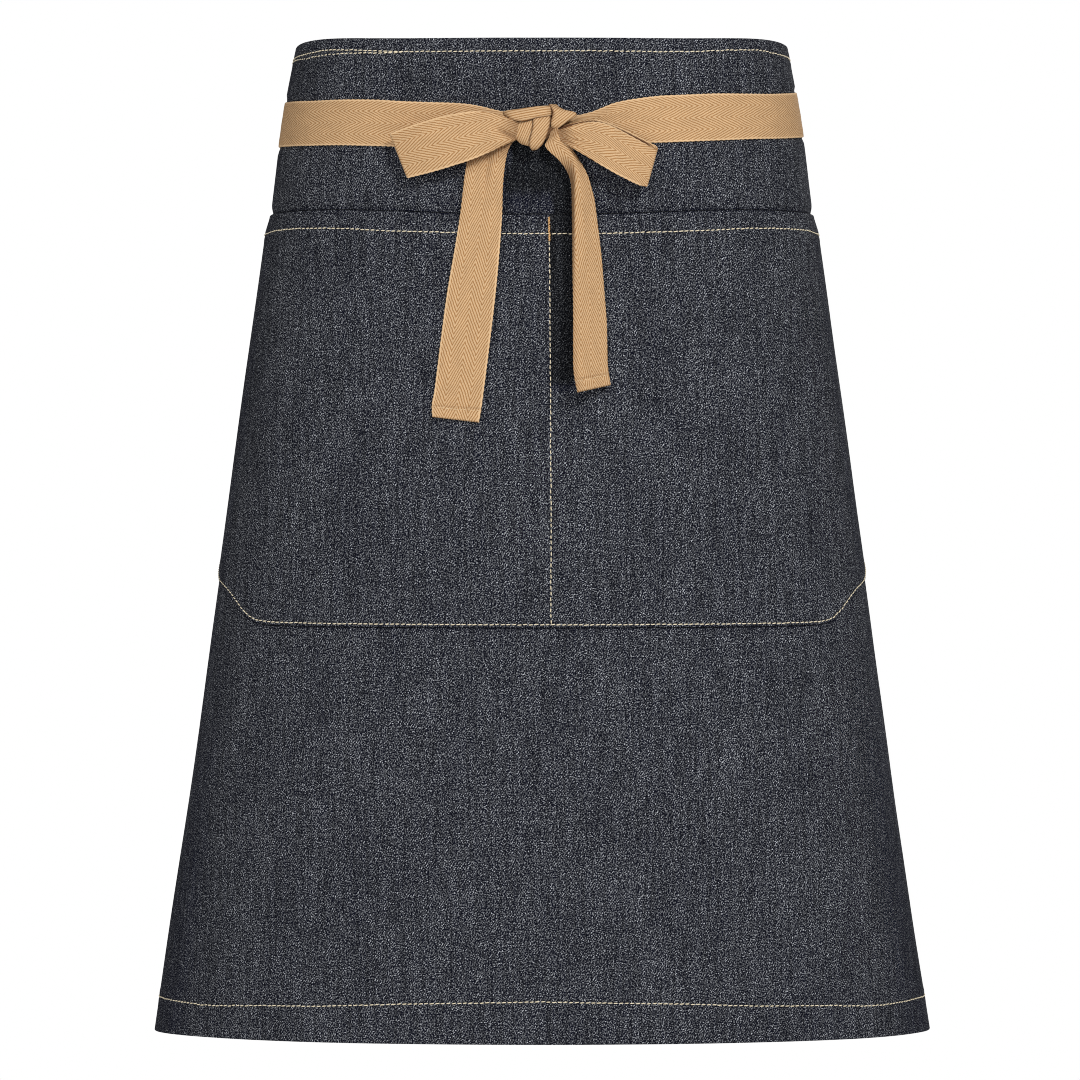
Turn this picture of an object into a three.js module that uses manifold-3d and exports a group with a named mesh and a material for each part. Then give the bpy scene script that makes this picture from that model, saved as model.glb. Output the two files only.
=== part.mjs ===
// Waist apron: a denim panel wrapped round the hips, a wide patch pocket and two herringbone
// ties that cross at the back and end in a bow at the front.
// Millimetres, +Z up, the front faces -Y. The origin is the middle of the waist hollow, at the
// height where the ties run.

import * as THREE from 'three';
import { mergeVertices } from 'three/addons/utils/BufferGeometryUtils.js';
import Module from 'manifold-3d';

// Lengths and heights of the panel
const APRON_LENGTH = 588;
const TOP_EDGE_RISE = 42;
const TOP_WIDTH = 294.6;
const HEM_WIDTH = 462.6;
const TOP_FRONT_DEPTH = 102;
const HEM_FRONT_DEPTH = 122;
const TOP_BACK_DEPTH = 102;
const HEM_BACK_DEPTH = 176;
const BACK_OPENING = 142;
const FOLD_DEPTH = 7;
const FOLD_FULL_DEPTH_AT = 1.3;
const TOP_EDGE_SWELL = 1.8;
const TOP_EDGE_SWELL_AT = 0.4;
const TOP_EDGE_SWELL_SPREAD = 0.115;

// Cloth and hems
const DENIM_WALL = 1.2;
const TURNED_HEM = 2.4;
const TOP_HEM = 7.5;
const SIDE_HEM = 10;
const BOTTOM_HEM = 25;
const BOTTOM_HEM_SIDE = 20;
const BOTTOM_HEM_NARROW_AT = 0.5;
const HEM_SETTLE = 23;
const SEAM_GAP = 0.6;

// Pocket
const POCKET_MOUTH_DROP = 99.9;
const POCKET_MOUTH_SAG = 3.9;
const POCKET_SAG_START = 0.05;
const POCKET_SAG_END = 0.5;
const POCKET_DEPTH = 245.3;
const POCKET_BOTTOM_LIFT = 2.2;
const POCKET_SIDE_INSET = 66;
const POCKET_MOUTH_HEM = 11.5;
const POCKET_BOW = 1.8;
const POCKET_BOW_END = 0.8;
const POCKET_CORNER_RUN = 101;
const POCKET_CORNER_RISE = 53;
const POCKET_CORNER_ROUND = 8;

// Ties
const TAPE_WIDTH = 28;
const TAPE_WALL = 1.2;
const TAPE_GAP = 0.7;
const TIE_SEWN_LENGTH = 36;
const TIE_EDGE_SPACE = 2;
const TIE_RISE_LEFT = -0.9;
const TIE_RISE_RIGHT = 5.7;
const TIE_KNOT_REACH = 0.2;
const TIE_STEP_OUT_LEFT = 0;
const TIE_STEP_OUT_RIGHT = 0.85;
const TIE_STEP_OUT_SPAN = 0.15;

// Bow
const KNOT_DROP = 11.2;
const KNOT_SHIFT = -1.2;
const KNOT_WALL = 3;
const KNOT_CLEARANCE = 0.4;
const LOOP_REACH_LEFT = 81.6;
const LOOP_REACH_RIGHT = 65.6;
const TAIL_LENGTH_LEFT = 170.7;
const TAIL_LENGTH_RIGHT = 152.7;
const TAIL_HEM = 7.5;
const TAIL_HEM_WALL = 2;

// Fineness of the meshes
const PANEL_COLUMNS_PER_SIDE = 27;
const BACK_COLUMNS = 16;
const SEWN_COLUMNS = 3;
const NARROWEST_COLUMN = 1 / 3;
const PANEL_ROWS = [0.045, 0.085, 0.13, 0.2, 0.3, 0.41, 0.52, 0.62, 0.71, 0.79, 0.86, 0.915];
const POCKET_ROWS = [0, 0.12, 0.24, 0.38, 0.52, 0.66, 0.8, 0.91, 1];
const HEM_STEP = 0.8;
const ARC_STEPS = 180;
const TANGENT_STEP = 0.01;
const RIBBON_SUBSTEPS = 2;
const RIBBON_LINES = [-0.5, -0.25, 0, 0.25, 0.5];
const CREASE_STEPS = [0.25, 0.5, 0.75];
const KNOT_CORE_SIDES = 14;
const KNOT_CORE_RINGS = 9;
const SAME_POINT = 1e-4;

// Cross-sections from the top edge down. Columns: down as a share of the apron's length; wide,
// front and back as shares of the way from the top size to the hem size; power of the rounding.
const SECTIONS = [
  { down: 0.0, wide: 0.0, front: 0.0, back: 0.0, power: 2.7 },
  { down: 0.071, wide: 0.092, front: 0.15, back: 0.04, power: 2.65 },
  { down: 0.165, wide: 0.178, front: 0.3, back: 0.15, power: 2.6 },
  { down: 0.5, wide: 0.505, front: 0.52, back: 0.55, power: 2.3 },
  { down: 1.0, wide: 1.0, front: 1.0, back: 1.0, power: 2.0 },
];

// Soft folds that open towards the hem. Columns: at and spread as shares of the panel's
// half-width; out as a share of the fold depth; start as a share of the apron's length.
const FOLDS = [
  { at: -0.9, spread: 0.13, out: 1.0, start: 0.3 },
  { at: -0.66, spread: 0.12, out: -0.45, start: 0.5 },
  { at: -0.3, spread: 0.14, out: 0.16, start: 0.55 },
  { at: 0.34, spread: 0.16, out: 0.14, start: 0.55 },
  { at: 0.7, spread: 0.12, out: -0.5, start: 0.5 },
  { at: 0.92, spread: 0.13, out: 0.85, start: 0.3 },
];

// How each tie drops and narrows from the side to the knot. Columns: near as a share of the way
// from the side to the knot; drop as a share of the whole drop; width and lift in tape widths.
const TIE_RUN = [
  { near: 0.0, drop: 0.0, width: 1.0, lift: 0.0 },
  { near: 0.3, drop: 0.35, width: 1.0, lift: 0.0 },
  { near: 0.6, drop: 0.66, width: 0.98, lift: 0.0 },
  { near: 0.78, drop: 0.88, width: 0.84, lift: 0.0 },
  { near: 0.92, drop: 1.0, width: 0.5, lift: 0.0 },
  { near: 1.0, drop: 1.0, width: 0.4, lift: 0.04 },
];

// Front layers of the bow's loops, from the knot to the crease. Columns: along as a share of the
// loop's reach; up, out, width and gap (to the back layer) in tape widths; lean and turn in
// degrees, of the line across the tape, from +X and out of the front.
const LOOP_LEFT = [
  { along: 0.12, up: -0.05, out: 0.34, width: 0.34, gap: 0.12, lean: 88, turn: 0 },
  { along: 0.2, up: -0.08, out: 0.38, width: 0.5, gap: 0.13, lean: 88, turn: 0 },
  { along: 0.36, up: -0.11, out: 0.42, width: 0.83, gap: 0.15, lean: 90, turn: 0 },
  { along: 0.49, up: -0.17, out: 0.42, width: 1.0, gap: 0.16, lean: 95, turn: -4 },
  { along: 0.65, up: -0.27, out: 0.4, width: 1.02, gap: 0.15, lean: 105, turn: -5 },
  { along: 0.84, up: -0.45, out: 0.36, width: 1.0, gap: 0.12, lean: 107, turn: -4 },
  { along: 1.0, up: -0.59, out: 0.29, width: 0.98, gap: 0.09, lean: 107, turn: -2 },
];
const LOOP_RIGHT = [
  { along: 0.16, up: -0.12, out: 0.33, width: 0.36, gap: 0.12, lean: 96, turn: 0 },
  { along: 0.26, up: -0.19, out: 0.37, width: 0.44, gap: 0.13, lean: 92, turn: -6 },
  { along: 0.38, up: -0.24, out: 0.42, width: 0.6, gap: 0.15, lean: 82, turn: -14 },
  { along: 0.58, up: -0.39, out: 0.46, width: 0.92, gap: 0.16, lean: 76, turn: -22 },
  { along: 0.77, up: -0.61, out: 0.46, width: 0.96, gap: 0.14, lean: 75, turn: -24 },
  { along: 1.0, up: -0.82, out: 0.42, width: 0.97, gap: 0.09, lean: 75, turn: -24 },
];

// Hanging ends, from the knot down. Columns: down as a share of the end's length; right, out
// (past what it hangs over) and width in tape widths; lean and turn in degrees, as for the loops.
const TAIL_LEFT = [
  { down: 0.02, right: -0.32, out: 0.03, width: 0.34, lean: 44, turn: 0 },
  { down: 0.07, right: -0.7, out: 0.0, width: 0.62, lean: 30, turn: 0 },
  { down: 0.15, right: -1.06, out: 0.01, width: 0.82, lean: 10, turn: 0 },
  { down: 0.27, right: -1.22, out: 0.03, width: 0.9, lean: -3, turn: 0 },
  { down: 0.42, right: -1.3, out: 0.05, width: 0.96, lean: -6, turn: 0 },
  { down: 0.6, right: -1.44, out: 0.06, width: 1.0, lean: -7, turn: 0 },
  { down: 0.8, right: -1.61, out: 0.05, width: 1.0, lean: -8, turn: 0 },
  { down: 1.0, right: -1.76, out: 0.05, width: 1.0, lean: -7, turn: 0 },
];
const TAIL_RIGHT = [
  { down: 0.03, right: 0.16, out: 0.42, width: 0.44, lean: 48, turn: 0 },
  { down: 0.07, right: 0.39, out: 0.4, width: 0.46, lean: 42, turn: -12 },
  { down: 0.12, right: 0.56, out: 0.27, width: 0.48, lean: 26, turn: -40 },
  { down: 0.2, right: 0.77, out: 0.07, width: 0.78, lean: 4, turn: -60 },
  { down: 0.34, right: 0.93, out: 0.02, width: 0.98, lean: -3, turn: -60 },
  { down: 0.48, right: 0.98, out: 0.02, width: 1.0, lean: -3, turn: -54 },
  { down: 0.75, right: 1.04, out: 0.02, width: 1.0, lean: 0, turn: -46 },
  { down: 0.93, right: 1.05, out: 0.03, width: 1.0, lean: 5, turn: -45 },
  { down: 1.0, right: 1.12, out: 0.03, width: 1.0, lean: 14, turn: -45 },
];

// Folded bands of the knot, each run along the named column. Columns as for the loops, with right
// from the knot's middle.
const KNOT_BANDS = [
  {
    along: 'right',
    rows: [
      { right: -0.68, up: 0.31, out: 0.24, width: 0.16, lean: 80, turn: 0 },
      { right: -0.54, up: 0.27, out: 0.36, width: 0.26, lean: 84, turn: 0 },
      { right: -0.25, up: 0.26, out: 0.46, width: 0.29, lean: 90, turn: 0 },
      { right: 0.0, up: 0.31, out: 0.46, width: 0.24, lean: 94, turn: 0 },
      { right: 0.19, up: 0.33, out: 0.4, width: 0.2, lean: 94, turn: 0 },
    ],
  },
  {
    along: 'right',
    rows: [
      { right: 0.14, up: 0.25, out: 0.38, width: 0.42, lean: 90, turn: 0 },
      { right: 0.37, up: 0.22, out: 0.42, width: 0.48, lean: 62, turn: 0 },
      { right: 0.55, up: 0.13, out: 0.34, width: 0.5, lean: 38, turn: 0 },
    ],
  },
  {
    along: 'up',
    rows: [
      { right: -0.12, up: -0.46, out: 0.4, width: 0.14, lean: -14, turn: 0 },
      { right: -0.06, up: -0.27, out: 0.5, width: 0.3, lean: -14, turn: 0 },
      { right: 0.0, up: -0.06, out: 0.53, width: 0.34, lean: -8, turn: 0 },
      { right: 0.03, up: 0.15, out: 0.44, width: 0.34, lean: 4, turn: 0 },
    ],
  },
  {
    along: 'up',
    rows: [
      { right: -0.27, up: -0.35, out: 0.36, width: 0.14, lean: 28, turn: 0 },
      { right: -0.34, up: -0.23, out: 0.42, width: 0.28, lean: 20, turn: 0 },
      { right: -0.35, up: -0.08, out: 0.44, width: 0.35, lean: 0, turn: 0 },
      { right: -0.32, up: 0.1, out: 0.38, width: 0.34, lean: 0, turn: 0 },
    ],
  },
];
const KNOT_CORE = {
  right: -0.02,
  up: 0.04,
  out: 0.27,
  halfWidth: 0.5,
  halfHeight: 0.34,
  halfDepth: 0.18,
};

const TOP_Z = TOP_EDGE_RISE;
const HEM_Z = TOP_Z - APRON_LENGTH;
const MOUTH_Z = TOP_Z - POCKET_MOUTH_DROP;
const POCKET_BOTTOM_Z = MOUTH_Z - POCKET_DEPTH;
const TIE_SEWN_Z = TOP_Z - TIE_EDGE_SPACE / 2 - TAPE_WIDTH / 2;
const TIE_BACK_Z = TIE_SEWN_Z - TAPE_WIDTH - TIE_EDGE_SPACE;
const KNOT_Z = -KNOT_DROP;

const DENIM = new THREE.MeshStandardMaterial({ color: 0x2b2d36, roughness: 0.9, metalness: 0 });
const TAPE = new THREE.MeshStandardMaterial({ color: 0xc29c72, roughness: 0.85, metalness: 0 });

function smoothstep(from, to, value) {
  const t = Math.min(1, Math.max(0, (value - from) / (to - from)));
  return t * t * (3 - 2 * t);
}

// A smooth curve through one column of a table, at a place along its first column.
function tableValue(rows, key, place, column) {
  const last = rows.length - 1;
  const at = Math.min(rows[last][key], Math.max(rows[0][key], place));
  let i = 0;
  while (i < last - 1 && rows[i + 1][key] < at) i += 1;
  const span = rows[i + 1][key] - rows[i][key];
  const slope = (k) => {
    const low = Math.max(0, k - 1);
    const high = Math.min(last, k + 1);
    return (rows[high][column] - rows[low][column]) / (rows[high][key] - rows[low][key]);
  };
  const t = (at - rows[i][key]) / span;
  const t2 = t * t;
  const t3 = t2 * t;
  return (
    rows[i][column] * (2 * t3 - 3 * t2 + 1) +
    slope(i) * span * (t3 - 2 * t2 + t) +
    rows[i + 1][column] * (3 * t2 - 2 * t3) +
    slope(i + 1) * span * (t3 - t2)
  );
}

// The body section that the cloth wraps, at one height.
function sectionAt(z) {
  const down = (TOP_Z - z) / APRON_LENGTH;
  const share = (column) => tableValue(SECTIONS, 'down', down, column);
  const mix = (top, hem, column) => top + (hem - top) * share(column);
  return {
    half: mix(TOP_WIDTH / 2, HEM_WIDTH / 2, 'wide'),
    front: mix(TOP_FRONT_DEPTH, HEM_FRONT_DEPTH, 'front'),
    back: mix(TOP_BACK_DEPTH, HEM_BACK_DEPTH, 'back'),
    power: share('power'),
  };
}

// A point of the section, by its angle from the front.
function ringPoint(section, angle) {
  const depth = Math.cos(angle) > 0 ? section.front : section.back;
  const across = Math.abs(Math.sin(angle)) / section.half;
  const along = Math.abs(Math.cos(angle)) / depth;
  const reach = (across ** section.power + along ** section.power) ** (-1 / section.power);
  return new THREE.Vector2(reach * Math.sin(angle), -reach * Math.cos(angle));
}

// Lengths round one half of the section, from the middle of the front.
function sectionArc(z) {
  const section = sectionAt(z);
  const lengths = [0];
  let previous = ringPoint(section, 0);
  for (let i = 1; i <= ARC_STEPS; i += 1) {
    const point = ringPoint(section, (Math.PI * i) / ARC_STEPS);
    lengths.push(lengths[i - 1] + point.distanceTo(previous));
    previous = point;
  }
  return { section, lengths };
}

function halfLoop(z) {
  return sectionArc(z).lengths[ARC_STEPS];
}

function angleAt(lengths, distance) {
  let i = 1;
  while (i < ARC_STEPS && lengths[i] < distance) i += 1;
  const t = (distance - lengths[i - 1]) / (lengths[i] - lengths[i - 1]);
  return (Math.PI * (i - 1 + t)) / ARC_STEPS;
}

const PANEL_HALF = halfLoop(TIE_SEWN_Z) - BACK_OPENING / 2;
const POCKET_HALF = PANEL_HALF - POCKET_SIDE_INSET;

// How far the folds push the cloth out at a place of the panel.
function foldOut(s, z) {
  const share = s / PANEL_HALF;
  const down = (TOP_Z - z) / APRON_LENGTH;
  return FOLDS.reduce((sum, fold) => {
    const bell = Math.exp(-(((share - fold.at) / fold.spread) ** 2));
    return sum + fold.out * FOLD_DEPTH * bell * smoothstep(fold.start, FOLD_FULL_DEPTH_AT, down);
  }, 0);
}

// The cloth's surface: s is the distance round from the middle of the front, offset is outward.
function skin(s, z, offset) {
  const { section, lengths } = sectionArc(z);
  const angle = Math.sign(s) * angleAt(lengths, Math.abs(s));
  const point = ringPoint(section, angle);
  const ahead = ringPoint(section, angle + TANGENT_STEP);
  const behind = ringPoint(section, angle - TANGENT_STEP);
  const tangent = ahead.sub(behind).normalize();
  const out = offset + foldOut(s, z);
  return new THREE.Vector3(point.x + tangent.y * out, point.y - tangent.x * out, z);
}

// The y of the panel's front face at a place seen from the front.
function frontFace(x, z) {
  const section = sectionAt(z);
  const share = Math.min(1, Math.abs(x) / section.half);
  return -section.front * (1 - share ** section.power) ** (1 / section.power);
}

// A closed solid between two grids of points, whose rows and columns match.
function sheetSolid(outer, inner) {
  const rows = outer.length;
  const columns = outer[0].length;
  const positions = [...outer.flat(), ...inner.flat()].flatMap((p) => [p.x, p.y, p.z]);
  const index = [];
  const node = (side, i, j) => side * rows * columns + i * columns + j;
  const quad = (a, b, c, d) => index.push(a, b, c, a, c, d);
  for (let i = 0; i < rows - 1; i += 1) {
    for (let j = 0; j < columns - 1; j += 1) {
      quad(node(0, i, j), node(0, i + 1, j), node(0, i + 1, j + 1), node(0, i, j + 1));
      quad(node(1, i, j), node(1, i, j + 1), node(1, i + 1, j + 1), node(1, i + 1, j));
    }
  }
  const foot = rows - 1;
  const edge = columns - 1;
  for (let j = 0; j < edge; j += 1) {
    quad(node(0, 0, j), node(0, 0, j + 1), node(1, 0, j + 1), node(1, 0, j));
    quad(node(0, foot, j), node(1, foot, j), node(1, foot, j + 1), node(0, foot, j + 1));
  }
  for (let i = 0; i < foot; i += 1) {
    quad(node(0, i, 0), node(1, i, 0), node(1, i + 1, 0), node(0, i + 1, 0));
    quad(node(0, i, edge), node(0, i + 1, edge), node(1, i + 1, edge), node(1, i, edge));
  }
  const geometry = new THREE.BufferGeometry();
  geometry.setAttribute('position', new THREE.Float32BufferAttribute(positions, 3));
  geometry.setIndex(index);
  return facingOut(geometry);
}

function signedVolume(geometry) {
  const position = geometry.getAttribute('position');
  const index = geometry.getIndex();
  const corner = (k) => new THREE.Vector3().fromBufferAttribute(position, index.getX(k));
  let volume = 0;
  for (let k = 0; k < index.count; k += 3) {
    volume += corner(k).dot(corner(k + 1).cross(corner(k + 2))) / 6;
  }
  return volume;
}

function facingOut(geometry) {
  if (signedVolume(geometry) < 0) {
    const index = geometry.getIndex();
    for (let k = 0; k < index.count; k += 3) {
      const second = index.getX(k + 1);
      index.setX(k + 1, index.getX(k + 2));
      index.setX(k + 2, second);
    }
  }
  return geometry;
}

// Evenly spaced places from 0 to an edge, with extra ones beside a hem, on both sides.
function columnsUpTo(edge, hem) {
  const step = PANEL_HALF / PANEL_COLUMNS_PER_SIDE;
  const hemLines = hem > 0 ? [edge - hem - HEM_STEP, edge - hem] : [];
  const places = [];
  const lastFull = edge - hem - step * NARROWEST_COLUMN;
  for (let k = 0; k * step < lastFull; k += 1) places.push(k * step);
  places.push(...hemLines, edge);
  const mirrored = places.slice(1).map((s) => -s).reverse();
  return [...mirrored, ...places];
}

// The top edge swells a little where the cloth turns round the front of the hips.
function topEdge(s) {
  const fromSwell = Math.abs(s) / PANEL_HALF - TOP_EDGE_SWELL_AT;
  return TOP_Z + TOP_EDGE_SWELL * Math.exp(-((fromSwell / TOP_EDGE_SWELL_SPREAD) ** 2));
}

function bottomHemHeight(s) {
  const share = Math.min(1, Math.abs(s) / (PANEL_HALF * BOTTOM_HEM_NARROW_AT));
  return BOTTOM_HEM_SIDE + (BOTTOM_HEM - BOTTOM_HEM_SIDE) * (1 - share * share);
}

// The denim panel: outer face on the body section, thicker where the hems are turned inside.
function apronPanel() {
  const columns = columnsUpTo(PANEL_HALF, SIDE_HEM);
  const rowHeights = (s) => {
    const top = topEdge(s);
    return [
      { z: top, hem: true },
      { z: top - TOP_HEM, hem: true },
      { z: top - TOP_HEM - HEM_STEP, hem: false },
      ...PANEL_ROWS.map((share) => ({ z: TOP_Z - share * APRON_LENGTH, hem: false })),
      { z: HEM_Z + bottomHemHeight(s) + HEM_STEP, hem: false },
      { z: HEM_Z + bottomHemHeight(s), hem: true },
      { z: HEM_Z, hem: true },
    ];
  };
  const rowCount = rowHeights(0).length;
  const grid = (thickness) =>
    Array.from({ length: rowCount }, (_, i) =>
      columns.map((s) => {
        const row = rowHeights(s)[i];
        const turned = row.hem || Math.abs(s) >= PANEL_HALF - SIDE_HEM - HEM_STEP / 2;
        return skin(s, row.z, -thickness(turned));
      })
    );
  return sheetSolid(grid(() => 0), grid((turned) => (turned ? TURNED_HEM : DENIM_WALL)));
}

function mouthHeight(s) {
  const share = Math.abs(s) / POCKET_HALF;
  return MOUTH_Z - POCKET_MOUTH_SAG * (1 - smoothstep(POCKET_SAG_START, POCKET_SAG_END, share));
}

// The outward offset of the pocket's outer face: sewn close at the seams, bowed at the mouth.
function pocketOffset(s, z) {
  const below = mouthHeight(s) - z;
  const aboveBow = 1 - smoothstep(0, POCKET_DEPTH * POCKET_BOW_END, below);
  const bow = POCKET_BOW * Math.abs(Math.sin((Math.PI * s) / POCKET_HALF)) * aboveBow;
  const aboveFold = 1 - smoothstep(POCKET_MOUTH_HEM, POCKET_MOUTH_HEM + HEM_SETTLE, below);
  return SEAM_GAP + DENIM_WALL + (TURNED_HEM - DENIM_WALL) * aboveFold + bow;
}

// The bottom edge, with each corner cut off at a slant and rounded where the slant begins.
function pocketBottom(s) {
  const past = Math.abs(s) - (POCKET_HALF - POCKET_CORNER_RUN);
  const rounded = (past + Math.hypot(past, POCKET_CORNER_ROUND)) / 2;
  const share = s / POCKET_HALF;
  const lift = POCKET_BOTTOM_LIFT * share * share;
  return POCKET_BOTTOM_Z + lift + (rounded / POCKET_CORNER_RUN) * POCKET_CORNER_RISE;
}

function pocketPanel() {
  const columns = columnsUpTo(POCKET_HALF, 0);
  const rowHeights = (s) => {
    const top = mouthHeight(s);
    const single = top - POCKET_MOUTH_HEM - HEM_STEP;
    const fall = pocketBottom(s) - single;
    return [
      { z: top, turned: true },
      { z: top - POCKET_MOUTH_HEM, turned: true },
      ...POCKET_ROWS.map((share) => ({ z: single + fall * share, turned: false })),
    ];
  };
  const rowCount = rowHeights(0).length;
  const grid = (thickness) =>
    Array.from({ length: rowCount }, (_, i) =>
      columns.map((s) => {
        const row = rowHeights(s)[i];
        return skin(s, row.z, pocketOffset(s, row.z) - thickness(row.turned));
      })
    );
  return sheetSolid(grid(() => 0), grid((turned) => (turned ? TURNED_HEM : DENIM_WALL)));
}

// One tie from its sewn end inside the panel's back corner, across the back and round to the
// knot. Side is -1 for the run on the left of the front and 1 for the right. The tie steps from
// the inside of the panel to its outside from the share stepOut of the crossing on.
function waistTape(side, rise, stepOut) {
  const inside = -(TURNED_HEM + TAPE_GAP + TAPE_WALL / 2);
  const outside = TAPE_GAP + TAPE_WALL / 2;
  const knotEdge = TAPE_WIDTH * TIE_KNOT_REACH;
  const sideDistance = sectionArc(TIE_BACK_Z).lengths[ARC_STEPS / 2];
  const stations = [];
  const addStation = (place, z, offset, width) => stations.push({ place, z, offset, width });
  for (let k = 0; k <= SEWN_COLUMNS; k += 1) {
    const s = -(PANEL_HALF - TIE_SEWN_LENGTH * (1 - k / SEWN_COLUMNS));
    addStation(() => s, TIE_SEWN_Z, inside, TAPE_WIDTH);
  }
  for (let k = 1; k < BACK_COLUMNS; k += 1) {
    const share = k / BACK_COLUMNS;
    const swing = 2 * share - 1;
    const fall = (3 * swing - swing ** 3) / 4;
    const z = (TIE_SEWN_Z + TIE_BACK_Z) / 2 - (TIE_SEWN_Z - TIE_BACK_Z) * fall;
    const place = (level) => {
      const half = halfLoop(level);
      return Math.sign(swing || 1) * (half - (half - PANEL_HALF) * Math.abs(swing));
    };
    const stepped = smoothstep(stepOut, stepOut + TIE_STEP_OUT_SPAN, share);
    const offset = inside + (outside - inside) * stepped;
    addStation(place, z, offset, TAPE_WIDTH);
  }
  const run = columnsUpTo(PANEL_HALF, SIDE_HEM).filter((s) => s > knotEdge + HEM_STEP).reverse();
  run.push(knotEdge);
  run.forEach((s) => {
    const rising = smoothstep(PANEL_HALF, sideDistance, s);
    const near = Math.max(0, (sideDistance - s) / (sideDistance - knotEdge));
    const level = TIE_BACK_Z + rise * rising;
    const z = level + (KNOT_Z - level) * tableValue(TIE_RUN, 'near', near, 'drop');
    const lift = TAPE_WIDTH * tableValue(TIE_RUN, 'near', near, 'lift');
    addStation(() => s, z, outside + lift, TAPE_WIDTH * tableValue(TIE_RUN, 'near', near, 'width'));
  });
  const face = (wallShare) =>
    [0.5, 0, -0.5].map((share) =>
      stations.map((station) => {
        const z = station.z + share * station.width;
        return skin(side * station.place(z), z, station.offset + wallShare * TAPE_WALL);
      })
    );
  return sheetSolid(face(0.5), face(-0.5));
}

// A strip of cloth through stations that hold a middle point, a line across and a wall.
function ribbonSolid(stations) {
  const last = stations.length - 1;
  const face = (sign) =>
    stations.map((station, i) => {
      const next = stations[Math.min(last, i + 1)].middle;
      const before = stations[Math.max(0, i - 1)].middle;
      const normal = next.clone().sub(before).cross(station.across).normalize();
      return RIBBON_LINES.map((share) =>
        station.middle
          .clone()
          .addScaledVector(station.across, share * station.width)
          .addScaledVector(normal, (sign * station.wall) / 2)
      );
    });
  return sheetSolid(face(1), face(-1));
}

function acrossLine(lean, turn) {
  const leaning = THREE.MathUtils.degToRad(lean);
  const turning = THREE.MathUtils.degToRad(turn);
  const flat = Math.cos(turning);
  return new THREE.Vector3(Math.cos(leaning) * flat, -Math.sin(turning), Math.sin(leaning) * flat);
}

// A whole row of a table at a place along its first column.
function rowAt(rows, key, place) {
  const values = Object.keys(rows[0]).map((name) => [name, tableValue(rows, key, place, name)]);
  return { ...Object.fromEntries(values), [key]: place };
}

// The rows of a table with smooth rows added between them.
function finerRows(rows, key) {
  return rows.flatMap((start, i) => {
    if (i === rows.length - 1) return [start];
    const step = (rows[i + 1][key] - start[key]) / RIBBON_SUBSTEPS;
    return Array.from({ length: RIBBON_SUBSTEPS }, (_, k) => rowAt(rows, key, start[key] + step * k));
  });
}

// A point in front of the panel, from the knot's middle.
function bowPoint(right, up, out) {
  const x = KNOT_SHIFT + right;
  const z = KNOT_Z + up;
  return new THREE.Vector3(x, frontFace(x, z) - out, z);
}

// A flat loop: out along the front layer, round the crease and back along the back layer.
function bowLoop(rows, reach, side) {
  const layer = (row, depth) => ({
    middle: bowPoint(side * row.along * reach, row.up * TAPE_WIDTH, row.out * TAPE_WIDTH - depth),
    across: acrossLine(row.lean, row.turn),
    width: row.width * TAPE_WIDTH,
    wall: TAPE_WALL,
  });
  const fine = finerRows(rows, 'along');
  const crease = fine[fine.length - 1];
  const radius = (crease.gap * TAPE_WIDTH) / 2;
  const front = fine.map((row) => layer(row, 0));
  const back = fine.map((row) => layer(row, row.gap * TAPE_WIDTH)).reverse();
  const bend = CREASE_STEPS.map((share) => {
    const station = layer(crease, radius * (1 - Math.cos(Math.PI * share)));
    const away = new THREE.Vector3(side * Math.sin(THREE.MathUtils.degToRad(crease.lean)), 0, 0);
    station.middle.addScaledVector(away, radius * Math.sin(Math.PI * share));
    return station;
  });
  return ribbonSolid([...front, ...bend, ...back]);
}

// How far out the hanging ends must stay: past the tie near the knot, past the pocket lower down.
function tailCover(z) {
  const belowTie = smoothstep(KNOT_Z - TAPE_WIDTH / 2, MOUTH_Z + POCKET_BOW, z);
  const pocket = pocketOffset(POCKET_HALF / 2, Math.min(z, MOUTH_Z - POCKET_MOUTH_SAG));
  return (TAPE_GAP + TAPE_WALL) * (1 - belowTie) + pocket * belowTie;
}

// A hanging end, which keeps off what it hangs over and has a thicker turned hem.
function tieTail(rows, length) {
  const hemStart = 1 - TAIL_HEM / length;
  const hemLines = [hemStart - HEM_STEP / length, hemStart, 1];
  const single = finerRows(rows, 'down').filter((row) => row.down < hemLines[0]);
  const hemmed = hemLines.map((down) => rowAt(rows, 'down', down));
  const stations = [...single, ...hemmed].map((row) => {
    const up = -row.down * length;
    const width = row.width * TAPE_WIDTH;
    const wall = row.down >= hemStart ? TAIL_HEM_WALL : TAPE_WALL;
    const across = acrossLine(row.lean, row.turn);
    const stand = (Math.abs(across.y) * width) / 2;
    const out = tailCover(KNOT_Z + up) + TAPE_GAP + wall / 2 + row.out * TAPE_WIDTH + stand;
    return { middle: bowPoint(row.right * TAPE_WIDTH, up, out), across, width, wall };
  });
  return ribbonSolid(stations);
}

const wasm = await Module();
wasm.setup();

function toSolid(geometry) {
  const bare = geometry.clone();
  bare.deleteAttribute('normal');
  bare.deleteAttribute('uv');
  const merged = mergeVertices(bare, SAME_POINT);
  return new wasm.Manifold(
    new wasm.Mesh({
      numProp: 3,
      vertProperties: new Float32Array(merged.getAttribute('position').array),
      triVerts: new Uint32Array(merged.getIndex().array),
    })
  );
}

function toGeometry(solid) {
  const mesh = solid.getMesh();
  const geometry = new THREE.BufferGeometry();
  geometry.setAttribute('position', new THREE.Float32BufferAttribute(mesh.vertProperties, 3));
  geometry.setIndex(new THREE.BufferAttribute(new Uint32Array(mesh.triVerts), 1));
  return geometry;
}

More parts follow.
